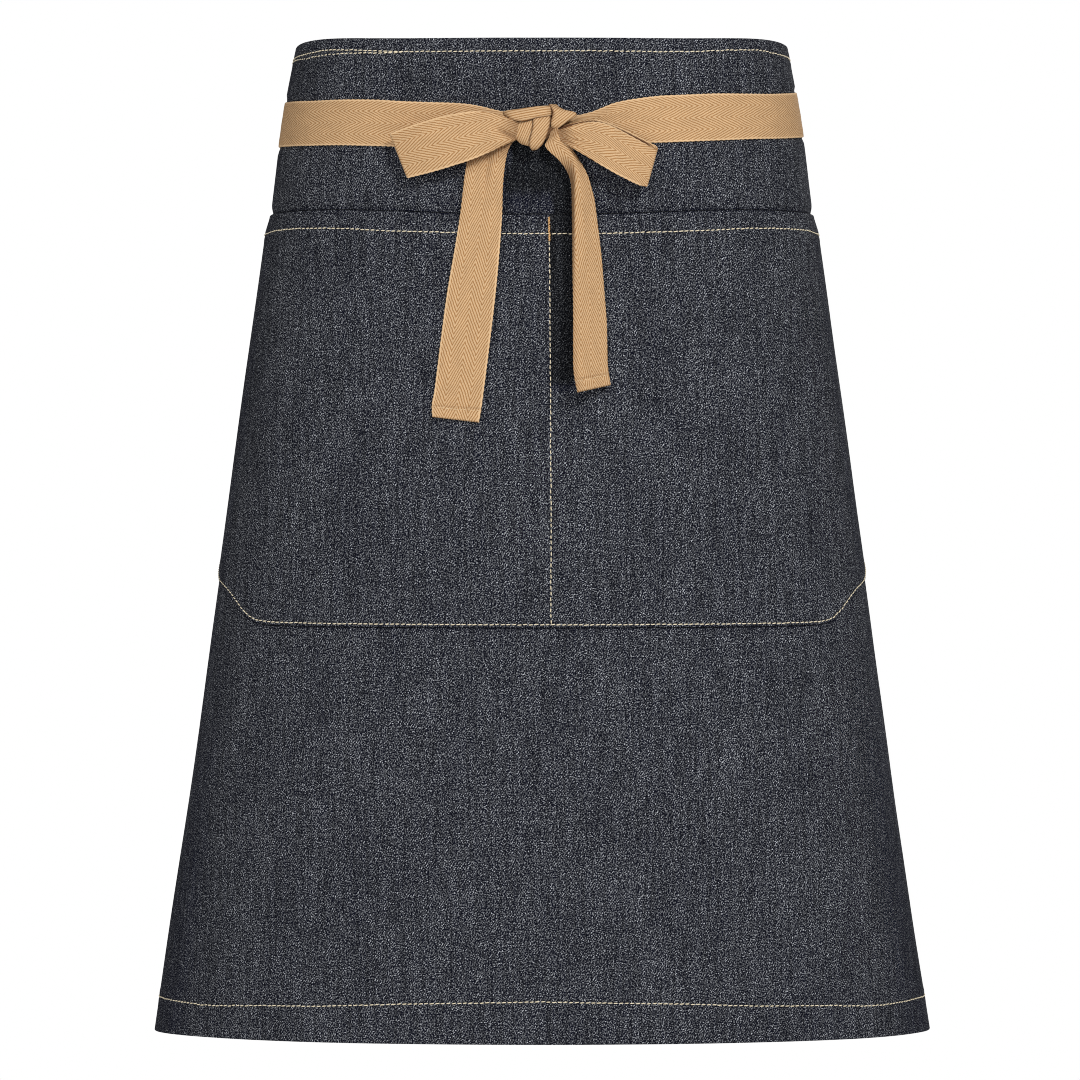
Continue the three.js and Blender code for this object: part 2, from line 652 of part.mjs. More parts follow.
// Moves the two ends of a strip outward along it.
function lengthened(stations, distance) {
  const [first, second] = stations;
  const [beforeLast, last] = stations.slice(-2);
  first.middle.addScaledVector(first.middle.clone().sub(second.middle).normalize(), distance);
  last.middle.addScaledVector(last.middle.clone().sub(beforeLast.middle).normalize(), distance);
}

// The knot: a rounded core with folded bands laid over it. The clearance swells it, for the
// space that its neighbours leave round it.
function knotSolid(clearance) {
  const core = new THREE.SphereGeometry(1, KNOT_CORE_SIDES, KNOT_CORE_RINGS);
  core.scale(
    KNOT_CORE.halfWidth * TAPE_WIDTH + clearance,
    KNOT_CORE.halfDepth * TAPE_WIDTH + clearance,
    KNOT_CORE.halfHeight * TAPE_WIDTH + clearance
  );
  const place = [KNOT_CORE.right, KNOT_CORE.up, KNOT_CORE.out].map((share) => share * TAPE_WIDTH);
  const middle = bowPoint(...place);
  core.translate(middle.x, middle.y, middle.z);
  let solid = toSolid(core);
  KNOT_BANDS.forEach((band) => {
    const stations = finerRows(band.rows, band.along).map((row) => ({
      middle: bowPoint(row.right * TAPE_WIDTH, row.up * TAPE_WIDTH, row.out * TAPE_WIDTH),
      across: acrossLine(row.lean, row.turn),
      width: row.width * TAPE_WIDTH + 2 * clearance,
      wall: KNOT_WALL + 2 * clearance,
    }));
    lengthened(stations, clearance);
    solid = solid.add(toSolid(ribbonSolid(stations)));
  });
  return solid;
}

const knotSpace = knotSolid(KNOT_CLEARANCE);

function clearOfKnot(geometry) {
  return toGeometry(toSolid(geometry).subtract(knotSpace));
}

const apron = new THREE.Group();

function addPiece(name, geometry, material) {
  const mesh = new THREE.Mesh(geometry, material);
  mesh.name = name;
  apron.add(mesh);
}

addPiece('apron_panel', apronPanel(), DENIM);
addPiece('pocket_panel', pocketPanel(), DENIM);
addPiece('waist_tape_left', clearOfKnot(waistTape(-1, TIE_RISE_LEFT, TIE_STEP_OUT_LEFT)), TAPE);
addPiece('waist_tape_right', clearOfKnot(waistTape(1, TIE_RISE_RIGHT, TIE_STEP_OUT_RIGHT)), TAPE);
addPiece('bow_knot', toGeometry(knotSolid(0)), TAPE);
addPiece('bow_loop_left', clearOfKnot(bowLoop(LOOP_LEFT, LOOP_REACH_LEFT, -1)), TAPE);
addPiece('bow_loop_right', clearOfKnot(bowLoop(LOOP_RIGHT, LOOP_REACH_RIGHT, 1)), TAPE);
addPiece('tie_tail_left', clearOfKnot(tieTail(TAIL_LEFT, TAIL_LENGTH_LEFT)), TAPE);
addPiece('tie_tail_right', clearOfKnot(tieTail(TAIL_RIGHT, TAIL_LENGTH_RIGHT)), TAPE);

export default apron;
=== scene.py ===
"""A long denim waist apron in its worn form: a wrapped panel, a wide patch pocket, two
herringbone ties crossed at the back, and their bow. Sizes are in millimetres until a mesh is
made; the frame is in metres, +Z up, with the front facing -Y."""

import math

import bpy
import numpy as np
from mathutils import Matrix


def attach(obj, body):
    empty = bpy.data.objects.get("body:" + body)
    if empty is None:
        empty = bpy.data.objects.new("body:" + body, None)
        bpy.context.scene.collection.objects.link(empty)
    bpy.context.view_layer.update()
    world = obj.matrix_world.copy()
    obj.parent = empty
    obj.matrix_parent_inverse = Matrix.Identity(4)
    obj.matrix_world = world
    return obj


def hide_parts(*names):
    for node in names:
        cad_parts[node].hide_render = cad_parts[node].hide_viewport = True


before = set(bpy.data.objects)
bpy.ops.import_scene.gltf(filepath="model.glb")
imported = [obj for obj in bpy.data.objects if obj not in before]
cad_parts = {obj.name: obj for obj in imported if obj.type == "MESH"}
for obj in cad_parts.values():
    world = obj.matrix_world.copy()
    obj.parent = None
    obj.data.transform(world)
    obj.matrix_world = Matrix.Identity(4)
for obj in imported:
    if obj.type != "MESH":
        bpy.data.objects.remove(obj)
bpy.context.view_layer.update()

MM = 0.001
# How deep the soft shade is round the sides and behind the bow
SIDE_DEEP = 0.48
BOW_SHADE = 0.72

# The panel, as in the part
APRON_LENGTH = 588
TOP_Z = 42
HEM_Z = TOP_Z - APRON_LENGTH
TOP_WIDTH, HEM_WIDTH = 294.6, 462.6
TOP_FRONT_DEPTH, HEM_FRONT_DEPTH = 102, 122
TOP_BACK_DEPTH, HEM_BACK_DEPTH = 102, 176
BACK_OPENING = 142
FOLD_DEPTH = 7
FOLD_FULL_DEPTH_AT = 1.3
TOP_EDGE_SWELL = 1.8
SIDE_HEM, SIDE_SEAM = 10, 8.5
CLOTH, HEM = 0.9, 1.7

# The pocket
MOUTH_Z = TOP_Z - 99.9
POCKET_MOUTH_SAG = 3.9
POCKET_DEPTH = 245.3
POCKET_BOTTOM_Z = MOUTH_Z - POCKET_DEPTH
POCKET_BOTTOM_LIFT = 2.2
POCKET_BOW, POCKET_BOW_REACH = 1.2, 170
POCKET_CORNER_RUN, POCKET_CORNER_RISE, POCKET_CORNER_ROUND = 101, 53, 8
CORNER_HOLLOW, CORNER_HOLLOW_AT, CORNER_HOLLOW_SPREAD = 5.4, 24, 18
MOUTH_LIFT, POCKET_LIFT, CORNER_PRESS = 0.35, 1.75, 0.7
MOUTH_RISE = 11
MOUTH_DIP = 1.6
# Where on the cloth's weave the pocket is cut
POCKET_CUT = (900, -300)

# The ties
TAPE_WIDTH, TAPE_WALL, TAPE_GAP = 28, 1.2, 0.7
TIE_SEWN_LENGTH = 36
TIE_SEWN_Z = TOP_Z - 15
TIE_BACK_Z = TIE_SEWN_Z - 30
KNOT_Z = -11.2
KNOT_SHIFT = -1.2
TAIL_HEM, TAIL_HEM_WALL = 7.5, 2.0
BOW_STEP = 0.7

# The stitches' pitch, the pocket's seam and the bar tack
STITCH = 3.26
SEAM_INSET = 1.7
TACK_FOOT, TACK_TOP, TACK_STEP, TACK_HALF_WIDTH = -77.2, -63.2, 0.5, 0.7

# The front view: its step in millimetres, and the knot's place in it
PX = 0.583
KNOT_PX, KNOT_PY = 540, 127

# down, wide, front, back, power
SECTIONS = [
    (0, 0, 0, 0, 2.7),
    (0.071, 0.092, 0.15, 0.04, 2.65),
    (0.165, 0.178, 0.3, 0.15, 2.6),
    (0.5, 0.505, 0.52, 0.55, 2.3),
    (1, 1, 1, 1, 2),
]
# at, spread, out, start
FOLDS = [
    (-0.9, 0.13, 0.45, 0.3),
    (-0.66, 0.12, -0.45, 0.5),
    (-0.3, 0.14, 0.16, 0.55),
    (0.34, 0.16, 0.14, 0.55),
    (0.7, 0.12, -0.5, 0.5),
    (0.92, 0.13, 0.85, 0.3),
]
# how near the knot, drop, width, lift
TIE_RUN = [
    (0, 0, 1, 0),
    (0.3, 0.35, 1, 0),
    (0.6, 0.66, 0.98, 0),
    (0.78, 0.88, 0.84, 0),
    (0.92, 1, 0.5, 0),
    (1, 1, 0.4, 0.04),
]
# distance round from the middle, then how far the top and bottom edges rise beyond that
LEFT_TIE_TRIM = [
    (0, 2, 0),
    (20, 2.6, 0),
    (38, 3.3, 0),
    (52, 2.3, 0),
    (66, 1.2, 0.3),
    (82, 0.6, 0.8),
    (99, 0.8, 1.2),
    (122, 0.6, 1.6),
    (150, 0, 1.3),
    (352, 0, 1),
]
RIGHT_TIE_TRIM = [
    (0, 0.4, 0),
    (28, 1.2, 0),
    (35, 2.3, 0.6),
    (42, 3.4, 1),
    (56, 3.5, 1.5),
    (70, 3.2, 1.7),
    (84, 2.3, 1.75),
    (105, 1.6, 1.75),
    (126, 0.7, 1.75),
    (150, 0.1, 1.4),
    (352, 0, 1),
]
# each side's rise between its back corner and its side, and its trim
TIES = {-1: (-0.9, LEFT_TIE_TRIM), 1: (5.7, RIGHT_TIE_TRIM)}
TIE_PRESS = 1.0
# distance round from the middle, then how far in from its edge a line of stitches lies
TOP_SEAM = [(0, 7.8), (85, 7.9), (112, 7.2), (138, 6.9), (152, 7.6), (175, 7.6), (352, 7.6)]
# the second line, below the first one
SECOND_LINE = [
    (80, 0.1), (87, 0.6), (96, 1.1), (108, 1.6), (120, 2.1),
    (130, 2.6), (143, 2.9), (157, 2.9), (177, 1.8), (352, 1.5),
]
HEM_SEAM = [
    (0, 25), (81, 23.3), (130, 21.3), (172, 20.4),
    (211, 18.9), (240, 19.7), (270, 20.5), (352, 20.5),
]
MOUTH_SEAM = [
    (0, 11.3), (56, 11.5), (93, 11.7), (120, 11),
    (157, 10.5), (180, 10.8), (192, 11.6), (286, 11.5),
]
MIDDLE_SEAM_AT, MIDDLE_SEAM_TOP, MIDDLE_SEAM_FOOT = 4.8, -77, -301.6
# down from the frame's origin, and how far right of the middle
MIDDLE_SEAM = [(62, 4), (77, 4.3), (112, 4.6), (170, 4.9), (229, 5.2), (300, 5.2)]
# The sides of the soft shade behind the bow: down and across in the front view
SHADE_LEFT = [(140, 508), (180, 503), (225, 502), (292, 496), (381, 485)]
SHADE_RIGHT = [(140, 556), (150, 556), (163, 566), (172, 572), (190, 576), (380, 577)]
# Where it begins and ends, behind the knot and beside the tail
BEHIND_TOP, BEHIND_FOOT = (120, 140), (232, 178)
BESIDE_LEFT, BESIDE_TOP, BESIDE_FOOT = (547.5, 550.5), (150, 175), (398, 380)
# The loops' and the left tail's pleats in the front view: start, end, depth, spread
LEFT_LOOP_PLEATS = [((488, 124), (515, 138.5), 2.6, 3.4), ((470, 158), (512, 142), 0.9, 3)]
RIGHT_LOOP_PLEATS = [
    ((596, 139), (560, 131), 1.3, 1.9),
    ((600, 150), (561, 134), 1.5, 1.8),
    ((594, 156), (563, 138), 1.4, 1.7),
]
LEFT_TAIL_PLEAT = ((484, 212), (489, 152), 1.2, 3.4)
# The left loop's shade on the left tail: its two limits down, where, and how it slants
UNDER_LOOP, UNDER_LOOP_AT, UNDER_LOOP_SLANT = (150, 172), 484, 0.35
# Each row of the bow has the tape's two edges, by their places in the front view (x, y), and how
# far each edge stands out. The loops' rows run from the knot to the outer end and back.
LEFT_LOOP_FRONT = [
    (524, 137, 524, 124, 8.6, 8.6),
    (516.5, 139.6, 516, 121, 10.2, 10.2),
    (510.5, 142.4, 506, 117.2, 11, 11),
    (504, 145.6, 498, 114.6, 11.4, 11.4),
    (497, 149, 490, 112.4, 11.8, 11.6),
    (488, 153, 480, 111.3, 12, 11.6),
    (479, 157, 470.5, 111.4, 12, 11.6),
    (467, 161.6, 456, 113.4, 12, 11.6),
    (456, 165, 442, 116, 11.8, 11.4),
    (445, 168.4, 430, 119.3, 11.4, 11),
    (432, 172, 417, 123, 10.8, 10.4),
    (418.5, 175.2, 402, 127.8, 9.6, 9.4),
    (409.6, 177.2, 391.4, 131.8, 8.6, 8.4),
]
LEFT_LOOP_BACK = [
    (409.8, 175.8, 392.6, 132.8, 6.2, 6),
    (432, 170.5, 418.5, 124.5, 7, 6.6),
    (456, 163.5, 443, 117.6, 7.6, 7.2),
    (479, 155, 470.5, 113.2, 7.8, 7.4),
    (497, 147.4, 490, 114, 7.8, 7.6),
    (510, 141.4, 506.5, 118.6, 7.4, 7.4),
    (524, 136, 524, 126, 6.6, 6.6),
]
RIGHT_LOOP_FRONT = [
    (560, 140, 556, 130, 9.6, 9.4),
    (566, 144.2, 562, 129, 10.8, 10.2),
    (571, 147.6, 568, 127.2, 11.8, 10.6),
    (577, 151.3, 574, 125, 12.8, 10.8),
    (584, 155.5, 580, 123.2, 13.6, 11),
    (592, 160.3, 586, 122.2, 14.2, 11),
    (600, 165.2, 592, 121.7, 14.6, 11),
    (608, 169.9, 600, 122.2, 14.8, 11),
    (617, 175, 610, 125.2, 14.8, 10.8),
    (625, 179, 620, 129.8, 14.6, 10.4),
    (632, 182.4, 632, 136.2, 14, 10),
    (639, 185.4, 644, 142.6, 13, 9.4),
    (644.3, 186.4, 655, 148.4, 11.8, 8.6),
]
RIGHT_LOOP_BACK = [
    (644.2, 184.8, 655.2, 144.4, 9, 5.2),
    (636, 181.4, 641, 137, 9.4, 5.2),
    (625, 176, 620.5, 127, 9.8, 5.4),
    (608, 167, 600.5, 119.8, 10, 5.8),
    (592, 157.6, 590.5, 119, 9.8, 6.2),
    (577, 149.4, 574, 122.2, 9.2, 6.6),
    (560, 139, 556, 127.6, 8.4, 7),
]
LEFT_TAIL = [
    (519, 130, 523, 137.5, 6.6, 6.8),
    (503, 130, 517.5, 139, 5.8, 6.4),
    (488, 135, 512, 143, 5.2, 6.2),
    (475.5, 145, 508, 151, 4.9, 6),
    (468.5, 156, 505.8, 160, 4.7, 5.8),
    (465, 172, 504, 173, 4.6, 5.6),
    (462.8, 190, 502.8, 189, 4.6, 5.6),
    (460, 214, 502.2, 212, 4.6, 5.8),
    (454.6, 248, 500, 246, 4.6, 6),
    (447, 292, 496, 290, 4.6, 5.8),
    (440.5, 340, 490.4, 338.5, 4.6, 5.4),
    (434, 392, 484.4, 386, 4.6, 5.2),
    (431.6, 405, 481.4, 408.5, 4.6, 5),
    (432, 417, 479, 422.6, 4.6, 4.8),
]
# and the place and height of a lengthwise fold
RIGHT_TAIL = [
    (550.5, 131.5, 557.5, 124, 9.8, 9.2, 0.5, 0.1),
    (548.5, 138, 558, 129, 9.6, 9.1, 0.6, 0.4),
    (544.8, 145, 561, 135, 8.6, 8.6, 0.8, 1),
    (549.5, 151.5, 567, 141, 7.6, 8, 0.85, 2),
    (556, 157, 572, 149, 6.8, 7.2, 0.8, 3.2),
    (561.5, 162.5, 577.5, 158, 6.2, 6.6, 0.7, 4.5),
    (566.5, 169.5, 583, 166.5, 5.8, 6.2, 0.5, 5.6),
    (570, 177, 588, 177, 5.6, 5.8, 0.32, 6.6),
    (571.8, 186, 591, 187, 5.6, 5.6, 0.2, 7.4),
    (572.3, 200, 594.3, 200, 6.4, 5.4, 0.15, 7.6),
    (572.6, 219, 596.7, 218, 8, 5.2, 0.12, 6.8),
    (572.8, 254, 601, 253, 10.6, 5.2, 0.1, 4.6),
    (573, 290, 604, 288.5, 13.5, 5.2, 0.1, 2.4),
    (573, 325.5, 606.6, 322, 15.2, 5.2, 0.1, 1),
    (573, 350, 607.2, 345, 15.8, 5.2, 0.1, 0.6),
    (573.6, 373, 607.8, 366.5, 16.2, 5.2, 0.1, 0.3),
    (577.5, 393, 610.6, 385.2, 16.6, 5.2, 0.1, 0.1),
]


def table(rows, place):
    """Smooth curves through a table's columns, at places along its first one."""
    rows = np.asarray(rows, float)
    key, values = rows[:, 0], rows[:, 1:]
    last = len(key) - 1
    low = np.maximum(np.arange(last + 1) - 1, 0)
    high = np.minimum(np.arange(last + 1) + 1, last)
    slope = (values[high] - values[low]) / (key[high] - key[low])[:, None]
    at = np.clip(np.asarray(place, float), key[0], key[-1])
    i = np.clip(np.searchsorted(key, at) - 1, 0, last - 1)
    span = (key[i + 1] - key[i])[..., None]
    t = (at - key[i])[..., None] / span
    t2, t3 = t * t, t * t * t
    found = (
        values[i] * (2 * t3 - 3 * t2 + 1)
        + slope[i] * span * (t3 - 2 * t2 + t)
        + values[i + 1] * (3 * t2 - 2 * t3)
        + slope[i + 1] * span * (t3 - t2)
    )
    return np.moveaxis(found, -1, 0)


def smoothstep(low, high, value):
    t = np.clip((value - low) / (high - low), 0, 1)
    return t * t * (3 - 2 * t)


def straight(rows, place):
    """Straight lines between a table's points."""
    return np.interp(place, *zip(*rows))


def bell(distance, spread):
    return np.exp(-((distance / spread) ** 2))


def run_along(points):
    """The length along a curve, at each of its points."""
    steps = np.linalg.norm(np.diff(points, axis=0), axis=1)
    return np.concatenate([[0], np.cumsum(steps)])


def section(z):
    """The worn panel's half width, depth in front and behind, and power, at a level."""
    wide, front, back, power = table(SECTIONS, (TOP_Z - z) / APRON_LENGTH)
    return (
        (TOP_WIDTH + (HEM_WIDTH - TOP_WIDTH) * wide) / 2,
        TOP_FRONT_DEPTH + (HEM_FRONT_DEPTH - TOP_FRONT_DEPTH) * front,
        TOP_BACK_DEPTH + (HEM_BACK_DEPTH - TOP_BACK_DEPTH) * back,
        power,
    )


def ring(sizes, angle):
    """The section's point at an angle from the front."""
    half, front, back, power = sizes
    depth = np.where(np.cos(angle) > 0, front, back)
    across = np.abs(np.sin(angle)) / half
    along = np.abs(np.cos(angle)) / depth
    reach = (across**power + along**power) ** (-1 / power)
    return reach * np.sin(angle), -reach * np.cos(angle)


# The skin's levels, its angles from the front to the back, and distances round, one for each mm
LEVELS = np.linspace(HEM_Z - 8, TOP_Z + 8, 303)
ANGLES = np.linspace(0, math.pi, 721)
ROUND = np.arange(640.0)


def arcs():
    """At each level, the angle at each distance round, and the length from front to back."""
    turns, halves = [], []
    for z in LEVELS:
        x, y = ring(section(np.full(len(ANGLES), z)), ANGLES)
        lengths = np.concatenate([[0], np.cumsum(np.hypot(np.diff(x), np.diff(y)))])
        halves.append(lengths[-1])
        turns.append(np.interp(ROUND, lengths, ANGLES))
    return np.array(turns), np.array(halves)


TURNS, HALVES = arcs()


def half_loop(z):
    return np.interp(z, LEVELS, HALVES)


PANEL_HALF = float(half_loop(TIE_SEWN_Z)) - BACK_OPENING / 2
POCKET_HALF = PANEL_HALF - 66


def turn_at(s, z):
    """The angle at a distance round from the middle of the front."""
    row = (z - LEVELS[0]) / (LEVELS[1] - LEVELS[0])
    i = np.clip(row.astype(int), 0, len(LEVELS) - 2)
    j = np.clip(np.abs(s).astype(int), 0, TURNS.shape[1] - 2)
    a, b = row - i, np.abs(s) - j
    near = TURNS[i, j] * (1 - b) + TURNS[i, j + 1] * b
    far = TURNS[i + 1, j] * (1 - b) + TURNS[i + 1, j + 1] * b
    return np.sign(s) * (near * (1 - a) + far * a)


def folds(s, z):
    down = (TOP_Z - z) / APRON_LENGTH
    out = 0
    for at, spread, depth, start in FOLDS:
        fold = depth * FOLD_DEPTH * bell(s / PANEL_HALF - at, spread)
        out = out + fold * smoothstep(start, FOLD_FULL_DEPTH_AT, down)
    return out


def unevenness(s, z):
    """The slight waves of heavy cloth that hangs, which every layer follows."""
    down = smoothstep(-40, -330, z)
    broad = 0.5 * np.sin(s / 21 + z / 190 + 1.3) * np.sin(z / 83 + s / 140)
    fine = 0.16 * np.sin(s / 8.3 - z / 47) * np.sin(z / 29 + s / 37 + 0.6)
    return broad * (0.25 + 0.75 * down) + fine


def skin_normal(s, z):
    sizes, angle = section(z), turn_at(s, z)
    ax, ay = ring(sizes, angle + 0.01)
    bx, by = ring(sizes, angle - 0.01)
    tx, ty = ax - bx, ay - by
    length = np.hypot(tx, ty)
    return np.stack([ty / length, -tx / length, np.zeros_like(tx)], -1)


def skin(s, z, out=0.0):
    """A point of the worn cloth, s round from the middle of the front, and its outward line."""
    s, z, out = np.broadcast_arrays(*(np.asarray(a, float) for a in (s, z, out)))
    x, y = ring(section(z), turn_at(s, z))
    normal = skin_normal(s, z)
    out = out + folds(s, z) + unevenness(s, z)
    return np.stack([x, y, z], -1) + normal * out[..., None], normal


def front_face(x, z):
    """Where the section's front lies, before folds."""
    half, front, _, power = section(z)
    share = np.minimum(1, np.abs(x) / half)
    return -front * (1 - share**power) ** (1 / power)


# Meshes


def link(name, data):
    made = bpy.data.objects.new(name, data)
    bpy.context.scene.collection.objects.link(made)
    return made


def add_mesh(name, points, quads, uv, materials, slots=0, shade=0.0):
    """A mesh from quads in millimetres, turned so that its faces point out. Shade, from 0 to 1,
    is how much painted shade darkens each point's colour: in crevices and folds, round the sides
    and behind the bow."""
    corners = points[quads]
    middle = corners.mean(1)
    area = np.cross(corners[:, 2] - corners[:, 0], corners[:, 3] - corners[:, 1])
    if (middle * area).sum() < 0:
        quads = quads[:, ::-1]
    count = len(quads)
    mesh = bpy.data.meshes.new(name)
    mesh.vertices.add(len(points))
    mesh.vertices.foreach_set("co", (points * MM).astype(np.float32).ravel())
    mesh.loops.add(quads.size)
    mesh.loops.foreach_set("vertex_index", quads.astype(np.int32).ravel())
    mesh.polygons.add(count)
    mesh.polygons.foreach_set("loop_start", np.arange(0, quads.size, 4, dtype=np.int32))
    mesh.polygons.foreach_set("loop_total", np.full(count, 4, dtype=np.int32))
    mesh.polygons.foreach_set("material_index", np.full(count, slots, dtype=np.int32))
    mesh.polygons.foreach_set("use_smooth", np.full(count, True))
    layer = mesh.uv_layers.new(name="cloth")
    layer.uv.foreach_set("vector", (uv[quads.ravel()] * MM).astype(np.float32).ravel())
    deep = mesh.attributes.new("shade", "FLOAT", "POINT")
    deep.data.foreach_set("value", np.full(len(points), np.clip(shade, 0, 1), dtype=np.float32))
    mesh.update(calc_edges=True)
    mesh.validate()
    for material in materials:
        mesh.materials.append(material)
    return link(name, mesh)


def sheet_quads(grid):
    cells = (grid[:-1, :-1], grid[1:, :-1], grid[1:, 1:], grid[:-1, 1:])
    return np.stack([cell.ravel() for cell in cells], -1)


def ring_quads(grid):
    """The faces between rows of points that each close on themselves."""
    around = np.roll(grid, -1, 1)
    return np.stack([a.ravel() for a in (grid[:-1], around[:-1], around[1:], grid[1:])], -1)


def shell(middle, normal, half, uv, shade):
    """A closed sheet round a grid of middle points, whose thickness is nothing at its border:
    its points, its faces, and each point's flat place and shade."""
    half = half.copy()
    half[[0, -1]] = 0
    half[:, [0, -1]] = 0
    rise = normal * half[..., None]
    rows, columns = half.shape
    count = (rows - 2) * (columns - 2)
    front = np.arange(rows * columns).reshape(rows, columns)
    back = front.copy()
    back[1:-1, 1:-1] = rows * columns + np.arange(count).reshape(rows - 2, columns - 2)

    def layers(outer, inner, size):
        return np.concatenate([outer.reshape(-1, size), inner[1:-1, 1:-1].reshape(-1, size)])

    return (
        layers(middle + rise, middle - rise, 3),
        np.concatenate([sheet_quads(front), sheet_quads(back)[:, ::-1]]),
        layers(uv, uv, 2),
        layers(shade, shade, 1)[:, 0],
    )


def cloth(name, middle, normal, half, uv, materials, back_slots=0, shade=0.0):
    """A closed sheet as a piece. Where its back has a look of its own, shade stays in front."""
    shade = np.broadcast_to(shade, half.shape)
    points, faces, flat, deep = shell(middle, normal, half, uv, shade)
    if len(materials) > 1:
        deep[half.size :] = 0
    slots = np.zeros(len(faces))
    slots[len(faces) // 2 :] = np.ravel(back_slots)
    return add_mesh(name, points, faces, flat, materials, slots, deep)


def rounded(distance, wall):
    """Half the thickness at a distance from a folded edge."""
    share = np.clip(distance / (wall / 2), 0, 1)
    return wall / 2 * np.sqrt(1 - (1 - share) ** 2)


def edge_steps(wall):
    """Places in from a border that make it round."""
    return wall / 2 * (1 - np.cos(np.radians([0, 22.5, 45, 67.5, 90])))


def spaced(low, high, step):
    return np.linspace(low, high, max(2, int(round((high - low) / step)) + 1))


def valley(distance, depth=0.26, spread=0.8, puff=0.14, reach=2.6):
    """The line that a seam presses into the cloth, with the cloth puffed beside it."""
    away = np.abs(distance)
    return puff * bell(away - reach, reach / 2) - depth * bell(away, spread)


def pucker(s, distance):
    """Small uneven waves along a seam, which die away from it."""
    wave = np.sin(s / 1.9 + 0.8 * np.sin(s / 11)) * 0.5 + np.sin(s / 4.3 + 1) * 0.5
    return 0.13 * wave * bell(distance, 4.5)


# Lines of the cloth


def top_edge(s):
    return TOP_Z + TOP_EDGE_SWELL * bell(np.abs(s) / PANEL_HALF - 0.4, 0.115)


def line(rows, s):
    return table(rows, np.abs(s))[0]


def top_seam(s):
    return top_edge(s) - line(TOP_SEAM, s)


def hem_seam(s):
    return HEM_Z + line(HEM_SEAM, s)


def mouth(s):
    return MOUTH_Z - POCKET_MOUTH_SAG * (1 - smoothstep(0.05, 0.5, np.abs(s) / POCKET_HALF))


def mouth_seam(s):
    return mouth(s) - line(MOUTH_SEAM, s)


def pocket_bottom(s):
    past = np.abs(s) - (POCKET_HALF - POCKET_CORNER_RUN)
    curved = (past + np.hypot(past, POCKET_CORNER_ROUND)) / 2
    lift = POCKET_BOTTOM_LIFT * (s / POCKET_HALF) ** 2
    hollow = CORNER_HOLLOW * bell(past - CORNER_HOLLOW_AT, CORNER_HOLLOW_SPREAD)
    return POCKET_BOTTOM_Z + lift + hollow + curved / POCKET_CORNER_RUN * POCKET_CORNER_RISE


def middle_seam(z):
    return straight(MIDDLE_SEAM, -z)


def pocket_offset(s, z):
    """How far the pocket's outer face lies outside the panel's."""
    below = mouth(s) - z
    share = np.clip(np.abs(s - middle_seam(z)) / POCKET_BOW_REACH, 0, 1)
    slack = smoothstep(0, MOUTH_RISE, below) * (1 - smoothstep(0, POCKET_DEPTH * 0.8, below))
    bow = POCKET_BOW * np.sin(math.pi * share) ** 2 * slack
    lift = MOUTH_LIFT + (POCKET_LIFT - MOUTH_LIFT) * smoothstep(0, MOUTH_RISE, below)
    return lift - CORNER_PRESS * smoothstep(0.35, 1, below / POCKET_DEPTH) + bow


def mouth_dip(s, z):
    """How far the panel gives way under the pocket's turned mouth."""
    above = z - mouth(s)
    reach = np.where(above > 0, 3.6, 7.2)
    within = 1 - smoothstep(POCKET_HALF, POCKET_HALF + 12, np.abs(s))
    return -MOUTH_DIP * bell(above, reach) * within


KNOT_EDGE = TAPE_WIDTH * 0.2
TURNS_AT_TIE = TURNS[np.searchsorted(LEVELS, TIE_BACK_Z)]
SIDE_RUN = float(np.interp(math.pi / 2, TURNS_AT_TIE, ROUND))


def tie_path(side, run):
    """The tie's level, share of its width and lift, at a distance round from the middle."""
    rise, trim = TIES[side]
    near = np.clip((SIDE_RUN - run) / (SIDE_RUN - KNOT_EDGE), 0, 1)
    drop, width, lift = table(TIE_RUN, near)
    level = TIE_BACK_Z + rise * smoothstep(PANEL_HALF, SIDE_RUN, run)
    level = level + (KNOT_Z - level) * drop
    top, bottom = table(trim, run)
    ease = smoothstep(PANEL_HALF, PANEL_HALF - 40, run)
    top, bottom = top * ease, bottom * ease
    return level + (top + bottom) / 2, width + (top - bottom) / TAPE_WIDTH, lift


def tie_dip(s, z):
    """How far the tight ties press into the panel."""
    dip = 0
    for side in (-1, 1):
        level, width, _ = tie_path(side, np.abs(s))
        past = np.abs(z - level) - width * TAPE_WIDTH / 2
        held = (1 - smoothstep(0.3, 4.5, past)) * (np.sign(s) == side)
        dip = dip - (TIE_PRESS + 0.05) * held * smoothstep(6, 24, np.abs(s))
    return dip


def bow_shade(points, z):
    """The soft shade in the hollow behind the bow's knot and beside the tail that stands out."""
    x = KNOT_PX + (points[..., 0] - KNOT_SHIFT) / PX
    y = KNOT_PY + (KNOT_Z - z) / PX
    right = straight(SHADE_RIGHT, y)
    behind = smoothstep(-3, 4, x - straight(SHADE_LEFT, y)) * smoothstep(3, -3, x - right)
    behind = behind * smoothstep(*BEHIND_TOP, y) * smoothstep(*BEHIND_FOOT, y)
    beside = smoothstep(*BESIDE_LEFT, x) * smoothstep(3, -3, x - right)
    beside = beside * smoothstep(*BESIDE_TOP, y) * smoothstep(*BESIDE_FOOT, y)
    return BOW_SHADE * np.maximum(behind, beside) * (points[..., 1] < 0)


def side_shade(points, z):
    """Painted shade round the sides and behind, deeper lower down."""
    half = section(z)[0]
    across = np.where(points[..., 1] < 0, np.abs(points[..., 0]) / half, 1)
    broad = smoothstep(0.86, 1.0, across) * (0.25 + 0.75 * smoothstep(-260, -480, z))
    return SIDE_DEEP * np.maximum(broad, 0.8 * smoothstep(0.955, 1.0, across))


# Materials


